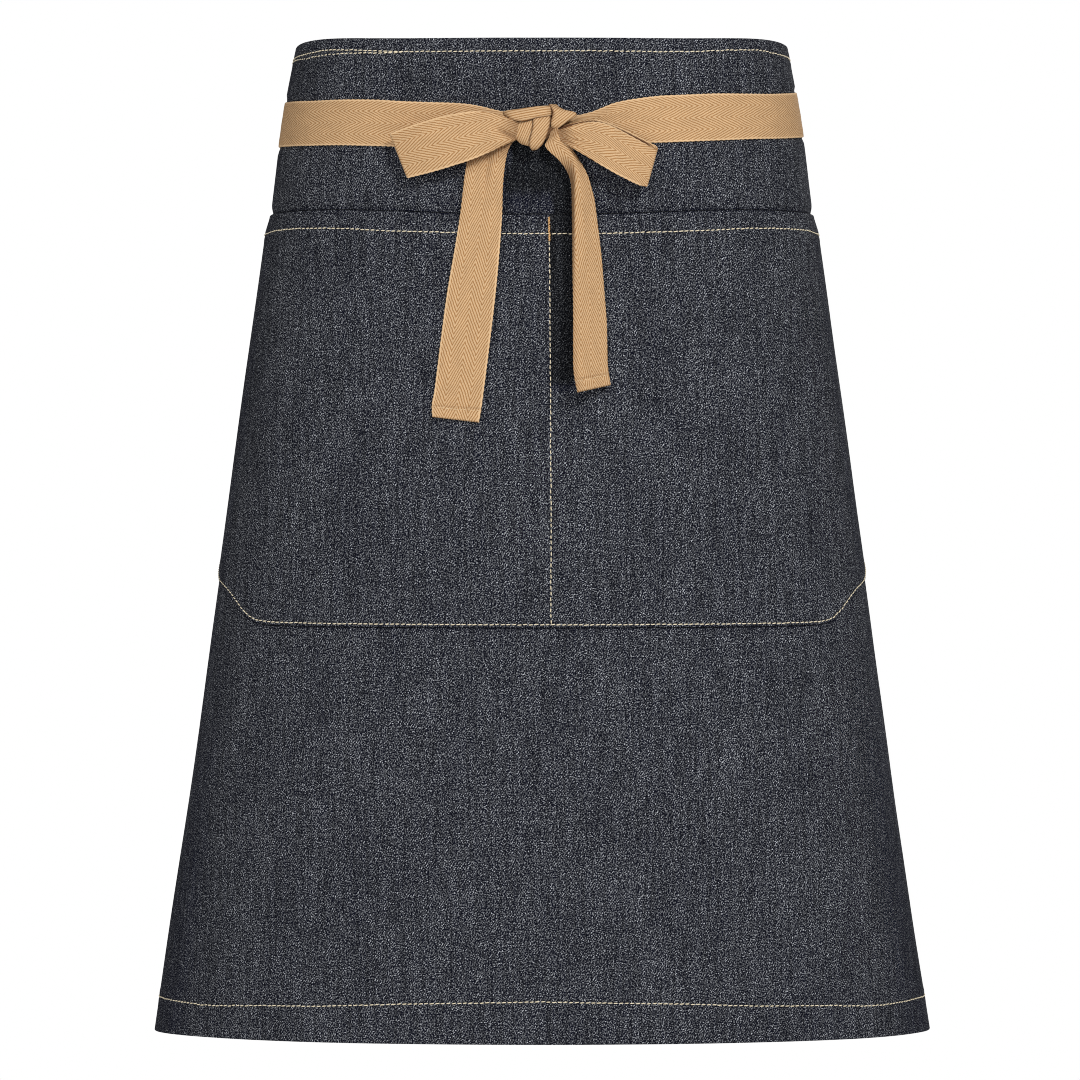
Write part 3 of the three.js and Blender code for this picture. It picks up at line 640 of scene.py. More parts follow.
class Value:
    """A value in a node tree, so that its sums can be written as sums."""

    def __init__(self, nodes, socket):
        self.nodes = nodes
        self.socket = socket

    def __add__(self, other):
        return self.nodes.math("ADD", self, other)

    def __sub__(self, other):
        return self.nodes.math("SUBTRACT", self, other)

    def __mul__(self, other):
        return self.nodes.math("MULTIPLY", self, other)

    def __truediv__(self, other):
        return self.nodes.math("DIVIDE", self, other)


class Nodes:
    """A short way to write a node tree."""

    def __init__(self, name):
        self.material = bpy.data.materials.new(name)
        self.material.use_nodes = True
        self.tree = self.material.node_tree
        self.tree.nodes.clear()

    def node(self, kind, inputs=(), **settings):
        """A node with its first inputs set."""
        made = self.tree.nodes.new(kind)
        for key, value in settings.items():
            setattr(made, key, value)
        for socket, value in zip(made.inputs, inputs):
            self.put(socket, value)
        return made

    def put(self, socket, value):
        if isinstance(value, Value):
            self.tree.links.new(value.socket, socket)
        else:
            socket.default_value = value

    def value(self, made, output=0):
        return Value(self, made.outputs[output])

    def math(self, operation, *values):
        return self.value(self.node("ShaderNodeMath", values, operation=operation))

    def vector(self, x, y, z=0.0):
        return self.value(self.node("ShaderNodeCombineXYZ", (x, y, z)))

    def scaled(self, vector, factor):
        made = self.node("ShaderNodeVectorMath", (vector,), operation="SCALE")
        self.put(made.inputs["Scale"], factor)
        return self.value(made)

    def flat(self):
        """The cloth's own flat coordinates, in millimetres."""
        uv = self.value(self.node("ShaderNodeUVMap", uv_map="cloth"))
        parts = self.node("ShaderNodeSeparateXYZ", (self.scaled(uv, 1 / MM),))
        return self.value(parts, 0), self.value(parts, 1)

    def shade(self):
        return self.value(self.node("ShaderNodeAttribute", attribute_name="shade"), "Fac")

    def noise(self, x, y, stretch, detail=2, rough=0.6, low=0.3, high=0.7, level=0.0):
        """Soft noise, which stretch makes finer along x and along y. Level picks another one."""
        made = self.node("ShaderNodeTexNoise", noise_dimensions="3D")
        self.put(made.inputs["Vector"], self.vector(x * stretch[0], y * stretch[1], level))
        for key, value in (("Scale", 1.0), ("Detail", detail), ("Roughness", rough)):
            made.inputs[key].default_value = value
        return self.spread(self.value(made), low, high)

    def spread(self, *values):
        """A value spread between limits: from low, from high, to low, to high."""
        made = self.node("ShaderNodeMapRange", values, interpolation_type="SMOOTHSTEP")
        made.clamp = True
        return self.value(made)

    def wave(self, value, half):
        return self.math("PINGPONG", value, half)

    def white(self, x, y):
        given = (self.vector(x, y),)
        return self.value(self.node("ShaderNodeTexWhiteNoise", given, noise_dimensions="2D"))

    def mix(self, share, a, b):
        made = self.node("ShaderNodeMix", (share,), data_type="RGBA")
        self.put(made.inputs[6], a)
        self.put(made.inputs[7], b)
        return self.value(made, 2)

    def finish(self, colour, height, distance, roughness, strength=1.0, gloss=0.2):
        shader = self.node("ShaderNodeBsdfPrincipled")
        self.put(shader.inputs["Base Color"], colour)
        shader.inputs["Roughness"].default_value = roughness
        shader.inputs["Specular IOR Level"].default_value = gloss
        bump = self.node("ShaderNodeBump")
        bump.inputs["Strength"].default_value = strength
        bump.inputs["Distance"].default_value = distance
        self.put(bump.inputs["Height"], height)
        self.put(shader.inputs["Normal"], self.value(bump))
        return self.output(shader)

    def output(self, shader):
        self.node("ShaderNodeOutputMaterial", (self.value(shader),))
        return self.material


def linear(*srgb):
    parts = [c / 255 for c in srgb]
    made = [c / 12.92 if c <= 0.04045 else ((c + 0.055) / 1.055) ** 2.4 for c in parts]
    return (*made, 1.0)


WARP_PITCH, WEFT_PITCH = 0.375, 0.55
# The warp's colour under painted shade: navy at first, near black where it is deepest
NAVY_SHADE_WARP = linear(8, 11, 33)
SHADED_WARP = linear(12, 14, 22)


def denim(name, warp, weft, cover, floor):
    """Three to one twill: pale weft shows in slanting rows of flecks between dark warp yarns.
    Cover is how much weft shows in a fleck, and floor how much shows between them."""
    n = Nodes(name)
    s, z = n.flat()
    drift = n.noise(s, z, (0.03, 0.03), 0, 0.5)
    warp_at = (s + drift * 0.9) / WARP_PITCH
    weft_at = (z + drift * 0.5) / WEFT_PITCH
    diagonal = n.math("FRACT", (warp_at - weft_at) / 4)
    row = n.spread(n.wave(diagonal, 0.5), 0.36, 0.05, 0.42, 1.0)
    pick = n.spread(n.wave(weft_at, 0.5), 0.02, 0.4, 0.4, 1.0)
    fleck = row * pick
    chance = n.white(n.math("FLOOR", warp_at), n.math("FLOOR", weft_at))
    gabor = n.node("ShaderNodeTexGabor", gabor_type="2D")
    n.put(gabor.inputs["Vector"], n.vector(s, z))
    for key, value in (("Scale", 0.72), ("Frequency", 1.0), ("Anisotropy", 0.0)):
        gabor.inputs[key].default_value = value
    grain = n.spread(n.value(gabor, "Value"), 0.38, 0.66)
    slant, counter = s * 0.9 + z * 0.44, s * 0.9 - z * 0.44
    cross = n.noise(slant, counter, (2.4, 1.6), 1, 0.5, 0.42, 0.58, 7.0)
    slub = n.noise(s, z, (0.5, 0.025), low=0.35, high=0.65, level=3.0)
    pick_slub = n.noise(s, z, (0.07, 0.9), level=5.0)
    cloud = n.noise(s, z, (0.04, 0.012), 3, low=0.25, high=0.75, level=9.0)
    speck = grain * 2.2 * (cross + 0.35) * (chance * chance * 2.7 + 0.18)
    speck = speck * (pick_slub * 0.3 + 0.85) * (slub * 0.5 + 0.75) * (cloud * 0.3 + 0.85)
    # Painted shade, from the shade attribute, hides the weft flecks and darkens the warp: to navy
    # at first, to near black where it is deepest
    lit = n.math("SUBTRACT", 1.0, n.shade())
    share = (fleck * cover + floor) * speck * lit
    yarn = (slub * 0.5 + 0.7) * (lit * 0.6 + 0.4)
    navy_shaded = n.mix(n.spread(n.shade(), 0.05, 0.35), warp, NAVY_SHADE_WARP)
    shaded = n.scaled(SHADED_WARP[:3], yarn)
    dark = n.mix(n.spread(n.shade(), 0.5, 0.7), n.scaled(navy_shaded, yarn), shaded)
    colour = n.mix(n.math("MINIMUM", share, 1.0), dark, weft)
    return n.finish(colour, slub * 0.3 - fleck * 0.8, 0.1 * MM, 0.9, 0.8, 0.06)


# The tape's colour under painted shade
TAPE_SHADE_COLOUR = linear(78, 36, 12)
RIB_PITCH = 1.38
RIB_SIN, RIB_COS = math.sin(math.radians(25)), math.cos(math.radians(25))


def herringbone(name, ridge_colour, groove_colour):
    """Four stripes of slanting ribs that turn back at each stripe's edge."""
    n = Nodes(name)
    u, v = n.flat()
    wobble = n.noise(u, v, (0.12, 0.12), rough=0.5)
    stripe = n.wave(v + TAPE_WIDTH / 2, TAPE_WIDTH / 4)
    phase = (u * RIB_SIN + stripe * RIB_COS + wobble * 0.35) / RIB_PITCH
    rib = n.spread(n.wave(phase, 0.5), 0.06, 0.3)
    yarn = n.noise(u, v, (2.2, 2.2), level=2.0)
    patch = n.noise(u, v, (0.07, 0.2), 3, low=0.25, high=0.75, level=4.0)
    selvedge = n.spread(n.math("SUBTRACT", TAPE_WIDTH / 2, n.math("ABSOLUTE", v)), 1.3, 0.7)
    lit = n.math("MAXIMUM", rib * (yarn * 0.4 + 0.75), selvedge * 1.15)
    colour = n.mix(lit, groove_colour, ridge_colour)
    colour = n.scaled(colour, selvedge * 0.12 + patch * 0.1 + 0.95)
    # Painted shade: a deep red-brown where the shade attribute marks a crease, fold or hollow
    colour = n.mix(n.shade(), colour, TAPE_SHADE_COLOUR)
    return n.finish(colour, yarn * 0.18 + n.math("MAXIMUM", rib, selvedge), 0.16 * MM, 0.82, 0.8)


def thread(name, colour):
    """Twisted thread: a slanting line along each stitch, and small changes from one to the next."""
    n = Nodes(name)
    u, v = n.flat()
    twist = n.wave(u * 1.6 + v * 0.8, 0.5)
    each = n.noise(u, v, (0.2, 0.0), 1, 0.5)
    lit = n.spread(twist, 0.02, 0.26, 0.7, 1.0) * (each * 0.25 + 0.88)
    return n.finish(n.scaled(colour[:3], lit), twist, 0.1 * MM, 0.6, 0.8)


DENIM_FACE = denim("denim_face", linear(9, 11, 26), linear(222, 226, 232), 0.195, 0.0)
DENIM_BACK = denim("denim_reverse", linear(48, 54, 72), linear(206, 208, 210), 1.1, 0.3)
TAPE_CLOTH = herringbone("herringbone_tape", linear(225, 188, 144), linear(176, 127, 78))
THREAD = thread("seam_thread", linear(255, 241, 209))
TAPE_THREAD = thread("tape_thread", linear(244, 212, 168))
TACK_THREAD = thread("tack_thread", linear(232, 184, 126))


# The panel and the pocket


def between(start, end, count):
    return [start + (end - start) * share for share in np.linspace(0, 1, count)]


def hem_turn(past):
    """1 over a turned hem, as far as just past its stitches."""
    return 1 - smoothstep(1.35, 1.85, past)


def denim_sheet(name, s, z, out, turned, inset, uv, shades):
    """A sheet of denim with turned hems, whose face lies out from the worn cloth's skin."""
    wall = CLOTH + (HEM - CLOTH) * turned
    middle, normal = skin(s, z, out - wall / 2)
    reverse = (turned[:-1, :-1] + turned[1:, 1:] < 1).astype(int)
    # Painted shade: the crevices' given shades, round the sides and behind the bow
    shade = np.maximum.reduce([*shades, side_shade(middle, z), bow_shade(middle, z)])
    looks = [DENIM_FACE, DENIM_BACK]
    return cloth(name, middle, normal, rounded(inset, wall), uv, looks, reverse, shade)


def panel_piece():
    side = edge_steps(HEM)
    seam = np.array([-1.8, -0.9, -0.35, 0, 0.35, 0.9, 1.4, 1.8, 2.8])
    right = np.concatenate(
        [
            spaced(4, POCKET_HALF - 4, 4.2),
            POCKET_HALF + np.array([-1.2, -0.1, 0.5, 1.0, 1.6, 2.6, 4.2]),
            spaced(POCKET_HALF + 8, PANEL_HALF - 14, 4.2),
            PANEL_HALF - SIDE_HEM + np.array([-1.6, -0.4, 0.0, 0.8, 1.5, 2.2, 3.2]),
            PANEL_HALF - np.array([4.5, 2.4]),
            PANEL_HALF - side[::-1],
        ]
    )
    columns = np.concatenate([-right[::-1], [0], right])
    top, seam_top, seam_hem = top_edge(columns), top_seam(columns), hem_seam(columns)
    opening, bottom = mouth(columns), pocket_bottom(columns)
    stretch = np.hypot(1, np.gradient(bottom, columns))
    rows = [top - d for d in [*edge_steps(HEM), 2.4, 4.0]]
    rows += [seam_top - d for d in seam]
    rows += between(seam_top - 5, opening + 7, 32)
    near_mouth = (5.5, 4.2, 3.0, 2.0, 1.3, 0.8, 0.4, 0.0, -0.5, -1.4, -3.0, -5.0, -8.0, -11.0)
    rows += [opening + d for d in near_mouth]
    rows += between(opening - 15, bottom + 5 * stretch, 44)
    near_bottom = (1.5, 0.2, -0.3, -0.7, -1.1, -1.6, -2.3, -3.4)
    rows += [bottom + d * stretch for d in near_bottom]
    rows += between(bottom - 6 * stretch, seam_hem + 6, 54)
    rows += [seam_hem + d for d in seam[::-1]]
    rows += [seam_hem + (HEM_Z - seam_hem) * share for share in (0.25, 0.42, 0.6, 0.78, 0.9)]
    rows += [np.full_like(columns, HEM_Z) + d for d in edge_steps(HEM)[::-1]]
    z = np.array(rows)
    s = np.broadcast_to(columns, z.shape)
    edge = PANEL_HALF - np.abs(s)
    below, above = top_edge(s) - z, z - HEM_Z
    turned = np.maximum.reduce(
        [
            1 - smoothstep(SIDE_HEM - 0.2, SIDE_HEM + 0.5, edge),
            hem_turn(top_seam(s) - z),
            hem_turn(z - hem_seam(s)),
        ]
    )
    press = valley(z - top_seam(s)) + valley(z - hem_seam(s))
    press = press + valley(edge - SIDE_SEAM) * smoothstep(0, 6, below)
    press = press + pucker(s, z - top_seam(s)) + pucker(s + 90, z - hem_seam(s))
    ease = smoothstep(0, 3, np.minimum(below, above))
    out = press * ease + (mouth_dip(s, z) + tie_dip(s, z))
    over_mouth = z - opening
    out_side, out_foot = np.abs(s) - POCKET_HALF, (bottom - z) / stretch
    # Painted shade in the crevice along the pocket's mouth, and just outside the pocket's bottom
    # edge and sides
    by_mouth = 0.7 * bell(over_mouth, 0.7) + 0.22 * bell(over_mouth, 2.4)
    by_mouth = by_mouth * (1 - smoothstep(0, 1.5, out_side))
    by_foot = 0.8 * bell(np.maximum(out_side, out_foot), 1.1)
    by_foot = by_foot * (out_side < 1.5) * smoothstep(3, 0, over_mouth)
    inset, flat = np.minimum.reduce([edge, below, above]), np.stack([s, z], -1)
    return denim_sheet("denim_panel", s, z, out, turned, inset, flat, [by_mouth, by_foot])


def pocket_piece():
    side = edge_steps(CLOTH)
    seam = np.array([-1.5, -0.7, -0.3, 0, 0.3, 0.7, 1.5])
    centre = MIDDLE_SEAM_AT + np.array([-3.2, -2.0, -1.1, -0.6, -0.25, 0.1, 0.45, 0.9, 1.6, 2.8])
    columns = np.concatenate(
        [
            -POCKET_HALF + side,
            -POCKET_HALF + SEAM_INSET + seam[1:] + 0.4,
            spaced(-POCKET_HALF + 5, -2, 3.6),
            centre,
            spaced(11, POCKET_HALF - 5, 3.6),
            POCKET_HALF - SEAM_INSET - seam[:0:-1] - 0.4,
            POCKET_HALF - side[::-1],
        ]
    )
    columns = np.unique(np.round(columns, 3))
    top, seam_top, bottom = mouth(columns), mouth_seam(columns), pocket_bottom(columns)
    stretch = np.hypot(1, np.gradient(bottom, columns))
    rows = [top - d for d in [*edge_steps(HEM), 1.8, 2.6, 4.6, 6.8]]
    rows += [seam_top - d for d in [-1.8, -0.9, -0.35, 0, 0.35, 0.9, 1.5, 1.9, 2.8]]
    rows += between(seam_top - 5, bottom + 6 * stretch, 56)
    rows += [bottom + (SEAM_INSET - d) * stretch for d in [-2.6, -1.5, -0.7, -0.3, 0, 0.3, 0.7]]
    rows += [bottom + d * stretch for d in edge_steps(CLOTH)[::-1]]
    z = np.array(rows)
    s = np.broadcast_to(columns, z.shape)
    edge = POCKET_HALF - np.abs(s)
    below, above = mouth(s) - z, (z - pocket_bottom(s)) / stretch
    turned = hem_turn(mouth_seam(s) - z)
    seamed = np.minimum(edge, above) - SEAM_INSET
    press = valley(z - mouth_seam(s)) + pucker(s + 40, z - mouth_seam(s))
    press = press + valley(seamed, 0.2, 0.7, 0.1, 2.2) + 0.6 * pucker(s - z, seamed)
    centre_line = s - middle_seam(z)
    deep = smoothstep(0, 12, below)
    press = press + (valley(centre_line, 0.34, 0.9, 0.16, 3.2) + pucker(z, centre_line)) * deep
    out = pocket_offset(s, z) + press * smoothstep(0, 2.5, below)
    # Painted shade on the mouth's turned edge and along the pocket's rounded outer edges
    by_edge = 0.6 * bell(below, 0.6) + 0.5 * bell(np.minimum(edge, above), 0.5)
    inset, flat = np.minimum.reduce([edge, below, above]), np.stack([s, z], -1) + POCKET_CUT
    return denim_sheet("denim_pocket", s, z, out, turned, inset, flat, [by_edge])


# Stitches


def on_cloth(route, out=0.0, inside=False):
    """A route of (s, z) on the cloth, as its places and outward lines."""
    place, normal = skin(*route.T, out)
    return place, -normal if inside else normal


def part_way(at, run, values):
    return np.stack([np.interp(at, run, column) for column in values.T], -1)


def stitches(name, lines, material=THREAD, pitch=STITCH, thick=0.68, length=0.77, slant=0.1):
    """One mesh of raised stitches, along lines of places and outward lines."""
    rings, sides = 7, 6
    t = np.linspace(-0.5, 0.5, rings)
    radius = thick / 2 * np.sqrt(np.clip(1 - (1.86 * t) ** 4, 0.04, 1))[:, None, None]
    lift = 0.3 * np.cos(math.pi * t * 0.95) - 0.14
    turn = np.arange(sides) * 2 * math.pi / sides
    grid = np.arange(rings * sides).reshape(rings, sides)
    first, last = grid[0], grid[-1]
    caps = [first[[0, 5, 4, 1]], last[[1, 4, 5, 0]], first[[1, 4, 3, 2]], last[[2, 3, 4, 1]]]
    points, flats = [], []
    rng = np.random.default_rng(len(name) * 7 + 3)
    for number, (place, normal) in enumerate(lines):
        run = run_along(place)
        for k in range(int(run[-1] / pitch)):
            at = (k + 0.5) * pitch + rng.normal(0, 0.09)
            reach = pitch * length * (1 + rng.normal(0, 0.06))
            drift = rng.normal(0, 0.09)
            spot = part_way(at + t * reach, run, place)
            up = part_way(at, run, normal)
            up /= np.linalg.norm(up)
            ahead = spot[-1] - spot[0]
            ahead /= np.linalg.norm(ahead)
            aside = np.cross(up, ahead)
            lean = (slant + rng.normal(0, 0.03)) * t * reach
            centre = spot + up * lift[:, None] + aside * (lean[:, None] + drift)
            points.append(
                centre[:, None]
                + radius * np.cos(turn)[:, None] * aside
                + radius * 0.8 * np.sin(turn)[:, None] * up
            )
            along = number * 4000 + at + t * reach
            flats.append(np.stack([np.repeat(along, sides), np.tile(turn, rings)], -1))
    starts = np.arange(len(flats))[:, None, None] * rings * sides
    faces = (np.concatenate([ring_quads(grid), caps]) + starts).reshape(-1, 4)
    points = np.concatenate(points).reshape(-1, 3)
    return add_mesh(name, points, faces, np.concatenate(flats), [material])


def track(s, z):
    """A route on the cloth, whose places may share one distance or one level."""
    s, z = np.broadcast_arrays(np.asarray(s, float), np.asarray(z, float))
    return np.stack([s, z], -1)


def seam_pieces():
    reach = PANEL_HALF - 1.5
    s = spaced(-reach, reach, 1.5)
    top, hem = track(s, top_seam(s)), track(s, hem_seam(s))
    second = s[s < -80]
    again = track(second, top_seam(second) - straight(SECOND_LINE, -second))
    sides = []
    for sign in (-1, 1):
        edge = sign * (PANEL_HALF - SIDE_SEAM)
        z = spaced(HEM_Z + 2, float(top_edge(edge)) - 2, 1.5)
        sides.append(track(np.full_like(z, edge), z))
    inner = -HEM - 0.02

    def both(lines):
        return [on_cloth(each) for each in lines] + [on_cloth(each, inner, True) for each in lines]

    made = [
        stitches("stitching_top_hem", both([top]) + [on_cloth(again, -0.02)]),
        stitches("stitching_bottom_hem", both([hem])),
        stitches("stitching_side_hems", both(sides)),
    ]

    s = spaced(-POCKET_HALF + 1.0, POCKET_HALF - 1.0, 1.5)
    z = mouth_seam(s)
    pocket = [on_cloth(track(s, z), pocket_offset(s, z) + 0.02)]
    round_it = spaced(-POCKET_HALF + SEAM_INSET, POCKET_HALF - SEAM_INSET, 1.0)
    slope = np.gradient(pocket_bottom(round_it), round_it)
    foot = pocket_bottom(round_it) + SEAM_INSET * np.hypot(1, slope)
    edge = spaced(foot[0] + 1, float(mouth(POCKET_HALF)) - 2, 1.0)
    outline = np.concatenate(
        [
            track(np.full_like(edge, round_it[0]), edge)[::-1],
            track(round_it, foot),
            track(np.full_like(edge, round_it[-1]), edge),
        ]
    )
    pocket.append(on_cloth(outline, pocket_offset(*outline.T)))
    down = spaced(MIDDLE_SEAM_FOOT, MIDDLE_SEAM_TOP, 1.0)[::-1]
    centre = track(middle_seam(down), down)
    made.append(stitches("stitching_pocket", pocket))
    sewn = [on_cloth(centre, pocket_offset(*centre.T) - 0.2)]
    made.append(stitches("stitching_pocket_middle", sewn, pitch=3.3, length=0.7, slant=0.05))
    behind = [on_cloth(each, -CLOTH - 0.02, True) for each in (outline, centre)]
    made.append(stitches("stitching_pocket_inside", behind))

    tack = []
    for k, level in enumerate(spaced(TACK_FOOT, TACK_TOP, TACK_STEP)[:-1]):
        lean = 0.25 if k % 2 else -0.25
        at = float(middle_seam(level))
        across = np.array([at - TACK_HALF_WIDTH, at + TACK_HALF_WIDTH])
        slanting = track(across, level + np.array([-lean, lean]))
        tack.append(on_cloth(slanting, float(pocket_offset(at, level)) + 0.1))
    look = {"pitch": 1.39, "thick": 0.56, "length": 1.0, "slant": 0}
    made.append(stitches("stitching_bar_tack", tack, TACK_THREAD, **look))
    return made


def tie_stitches():
    """The sewn squares that hold the ties' ends behind the panel."""
    boxes = []
    for side in (-1, 1):
        near, far = PANEL_HALF - 3.5, PANEL_HALF - TIE_SEWN_LENGTH + 3.5
        low, high = TIE_SEWN_Z - TAPE_WIDTH / 2 + 3, TIE_SEWN_Z + TAPE_WIDTH / 2 - 3
        s, z = spaced(far, near, 1.0), spaced(low, high, 1.0)
        sides = [track(s, low), track(np.full_like(z, near), z)]
        sides += [track(s[::-1], high), track(np.full_like(z, far), z[::-1])]
        box = np.concatenate(sides) * (side, 1)
        boxes.append(on_cloth(box, 0.02))
        boxes.append(on_cloth(box, -(HEM + TAPE_GAP / 2 + TAPE_WALL) - 0.02, True))
    return stitches("stitching_tie_ends", boxes)


def tail_stitches(name, points, normal):
    """The line that holds a tail's turned end."""
    row = -1 - int(round((TAIL_HEM - 1.2) / BOW_STEP))
    inset = slice(2, -2)
    place, out = points[row, inset], normal[row, inset]
    lines = [(place + out * TAIL_HEM_WALL / 2, out), (place - out * TAIL_HEM_WALL / 2, -out)]
    return stitches(name, lines, TAPE_THREAD, pitch=2.6, thick=0.5, length=0.78, slant=0.1)


# Tapes


def across_steps(step=1.9):
    """Places across the tape, closer at its edges."""
    edge, half = edge_steps(TAPE_WALL), TAPE_WIDTH / 2
    return np.concatenate([-half + edge, spaced(-half + 1.6, half - 1.6, step), half - edge[::-1]])


def grid_normal(points):
    along = np.gradient(points, axis=0)
    across = np.gradient(points, axis=1)
    normal = np.cross(across, along)
    return normal / np.linalg.norm(normal, axis=-1, keepdims=True)


def tape(name, points, along, across, wall, normal, uv=None, shade=0.0):
    """A tape round a grid of its middle points: along is the flat length, across the flat width."""
    u, v = np.meshgrid(along, across, indexing="ij")
    end = np.minimum(along - along[0], along[-1] - along)[:, None]
    edge = TAPE_WIDTH / 2 - np.abs(v)
    wall = np.broadcast_to(np.asarray(wall, float).reshape(-1, 1), u.shape)
    if uv is None:
        uv = np.stack([u, v], -1)
    half = rounded(np.minimum(edge, end), wall)
    return cloth(name, points, normal, half, uv, [TAPE_CLOTH], shade=shade)


def scallop(u, v):
    """The selvedge's small waves, where the ribs end."""
    edge = smoothstep(TAPE_WIDTH / 2 - 2, TAPE_WIDTH / 2, np.abs(v))
    return np.sign(v) * edge * 0.13 * np.sin(u * 2 * math.pi * RIB_SIN / RIB_PITCH)


def waist_tape(name, side, step_out):
    """A tie, from its sewn end inside the panel across the open back and round to the knot. Step
    out says where in the opening it comes from under the panel to over it."""
    inside = -(HEM + TAPE_GAP / 2 + TAPE_WALL / 2)
    outside = 0.1 - TIE_PRESS + TAPE_WALL / 2
    v = across_steps()

    sewn = np.linspace(1, 0, 56)
    s = np.repeat(-(PANEL_HALF - TIE_SEWN_LENGTH * sewn)[:, None], len(v), 1)
    z = TIE_SEWN_Z + np.broadcast_to(v, s.shape)
    parts = [(s, z, np.full(s.shape, inside))]

    share = np.linspace(0, 1, 232)[1:-1][:, None]
    swing = 2 * share - 1
    fall = (3 * swing - swing**3) / 4
    z = (TIE_SEWN_Z + TIE_BACK_Z) / 2 - (TIE_SEWN_Z - TIE_BACK_Z) * fall + v
    half = half_loop(z)
    s = np.where(swing < 0, -1, 1) * (half - (half - PANEL_HALF) * np.abs(swing))
    stepped = smoothstep(step_out, step_out + 0.15, share)
    parts.append((s, z, np.broadcast_to(inside + (outside - inside) * stepped, s.shape)))

    run = np.linspace(PANEL_HALF, KNOT_EDGE, 560)[:, None]
    level, width, lift = tie_path(side, run)
    z = level + v * width
    gather = (1 - width) * 1.1 * np.cos(v * 0.62 + run * 0.03)
    parts.append((np.broadcast_to(run, z.shape), z, outside + TAPE_WIDTH * lift + gather + 0 * z))

    s, z, out = (np.concatenate([p[i] for p in parts]) for i in range(3))
    points, normal = skin(side * s, z, out)
    middle = points[:, len(v) // 2]
    along = run_along(middle)
    points[..., 2] += scallop(along[:, None], v[None])
    return tape(name, points, along, v, TAPE_WALL, normal), along[-1]


def bow_point(right, up, out):
    """A point by its place from the knot, and how far it stands in front of the panel."""
    x, z = KNOT_SHIFT + right, KNOT_Z + up
    return np.stack([x, front_face(x, z) - out, z], -1)


def seen(px, py, out):
    """The same, by the place in the front view."""
    return bow_point((px - KNOT_PX) * PX, (KNOT_PY - py) * PX, out)


def spanned(rows, share):
    """Between each row's two edges: across and down in the front view, and how far out."""
    return [rows[:, [a]] * (1 - share) + rows[:, [b]] * share for a, b in ((0, 2), (1, 3), (4, 5))]


def groove(x, y, start, end, depth, spread):
    """A pleat along a line of the front view, which deepens from its start to its end."""
    (x0, y0), (x1, y1) = start, end
    dx, dy = x1 - x0, y1 - y0
    along = ((x - x0) * dx + (y - y0) * dy) / (dx * dx + dy * dy)
    held = np.clip(along, 0, 1)
    away = np.hypot(x - x0 - held * dx, y - y0 - held * dy)
    return bell(away, spread) * smoothstep(-0.1, 0.7, along) * depth


def bow_tape(name, rows, relief, back_to_front=False, hem=0.0):
    """A tape of the bow, from its rows. Relief gives how far out each point is pushed, and how
    much painted shade it gets. Gives the piece, its length, its points and their outward lines."""
    rows = np.asarray(rows, float)
    edges = (seen(*rows[:, (0, 1, 4)].T) + seen(*rows[:, (2, 3, 5)].T)) / 2
    run = run_along(edges)
    lengths = spaced(0, run[-1], BOW_STEP)
    fine = table(np.concatenate([run[:, None], rows], 1), lengths).T
    v = across_steps(step=1.1)
    share = v / TAPE_WIDTH + 0.5
    x, y, out = spanned(fine, share)
    push, shade = relief(x, y, share[None], lengths[:, None] / lengths[-1], fine[:, 6:])
    if hem:
        past = lengths[-1] - hem - lengths[:, None]
        # Painted shade along the line where the turned end starts
        shade = np.maximum(shade, 0.28 * bell(past, 0.55))
    points = seen(x, y, out + push)
    line = points[:, -1] - points[:, 0]
    line /= np.linalg.norm(line, axis=-1, keepdims=True)
    points = points + line[:, None] * scallop(lengths[:, None], v[None])[..., None]
    steps = np.linalg.norm(np.diff(points, axis=1), axis=2)
    flat = np.concatenate([np.zeros((len(steps), 1)), np.cumsum(steps, 1)], 1)
    total = flat[:, -1:]
    flat = (flat - total / 2) * TAPE_WIDTH / np.maximum(total, TAPE_WIDTH - 2)
    normal = grid_normal(points)
    if normal[: len(normal) // 3, :, 1].mean() > 0:
        normal = -normal
    turned = (1 - smoothstep(hem - 0.2, hem + 0.5, lengths[-1] - lengths)) * (hem > 0)
    wall = TAPE_WALL + (TAIL_HEM_WALL - TAPE_WALL) * turned
    along = -lengths if back_to_front else lengths
    uv = np.stack([np.broadcast_to(along[:, None], flat.shape), flat], -1)
    piece = tape(name, points, lengths, v, wall, normal, uv, np.broadcast_to(shade, flat.shape))
    return piece, lengths[-1], points, normal


def loop_rows(front, back, reach, away):
    """A loop's rows, with the turn from its front layer round into its back one."""
    last, first = np.array(front[-1]), np.array(back[0])
    middle, half = (last + first) / 2, (last - first) / 2
    shift = np.array([*away, *away, 0, 0]) * reach
    turns = np.radians([30, 60, 90, 120, 150])
    return [*front, *(middle + half * math.cos(a) + shift * math.sin(a) for a in turns), *back]


def fold_shade(push):
    """How much painted shade a pleat gets, by how far in it is pushed."""
    return np.clip(-push - 0.5, 0, 1.6) * 0.28


def pleats(x, y, rows):
    return sum(groove(x, y, *row) for row in rows)


def loop_arch(share, along):
    """A loop's front layer swells towards its middle."""
    return np.sin(share * math.pi) * np.sin(np.clip(along, 0, 0.5) * 2 * math.pi)


def loop_root(along):
    """1 where a loop's layers go into the knot, where they get painted shade."""
    return 1 - smoothstep(0.02, 0.1, np.minimum(along, 1 - along))


def left_loop_relief(x, y, share, along, _):
    near = (along < 0.3) | (along > 0.7)
    push = 0.9 * loop_arch(share, along) - pleats(x, y, LEFT_LOOP_PLEATS) * near
    return push, np.maximum(fold_shade(push), loop_root(along) * 0.45)


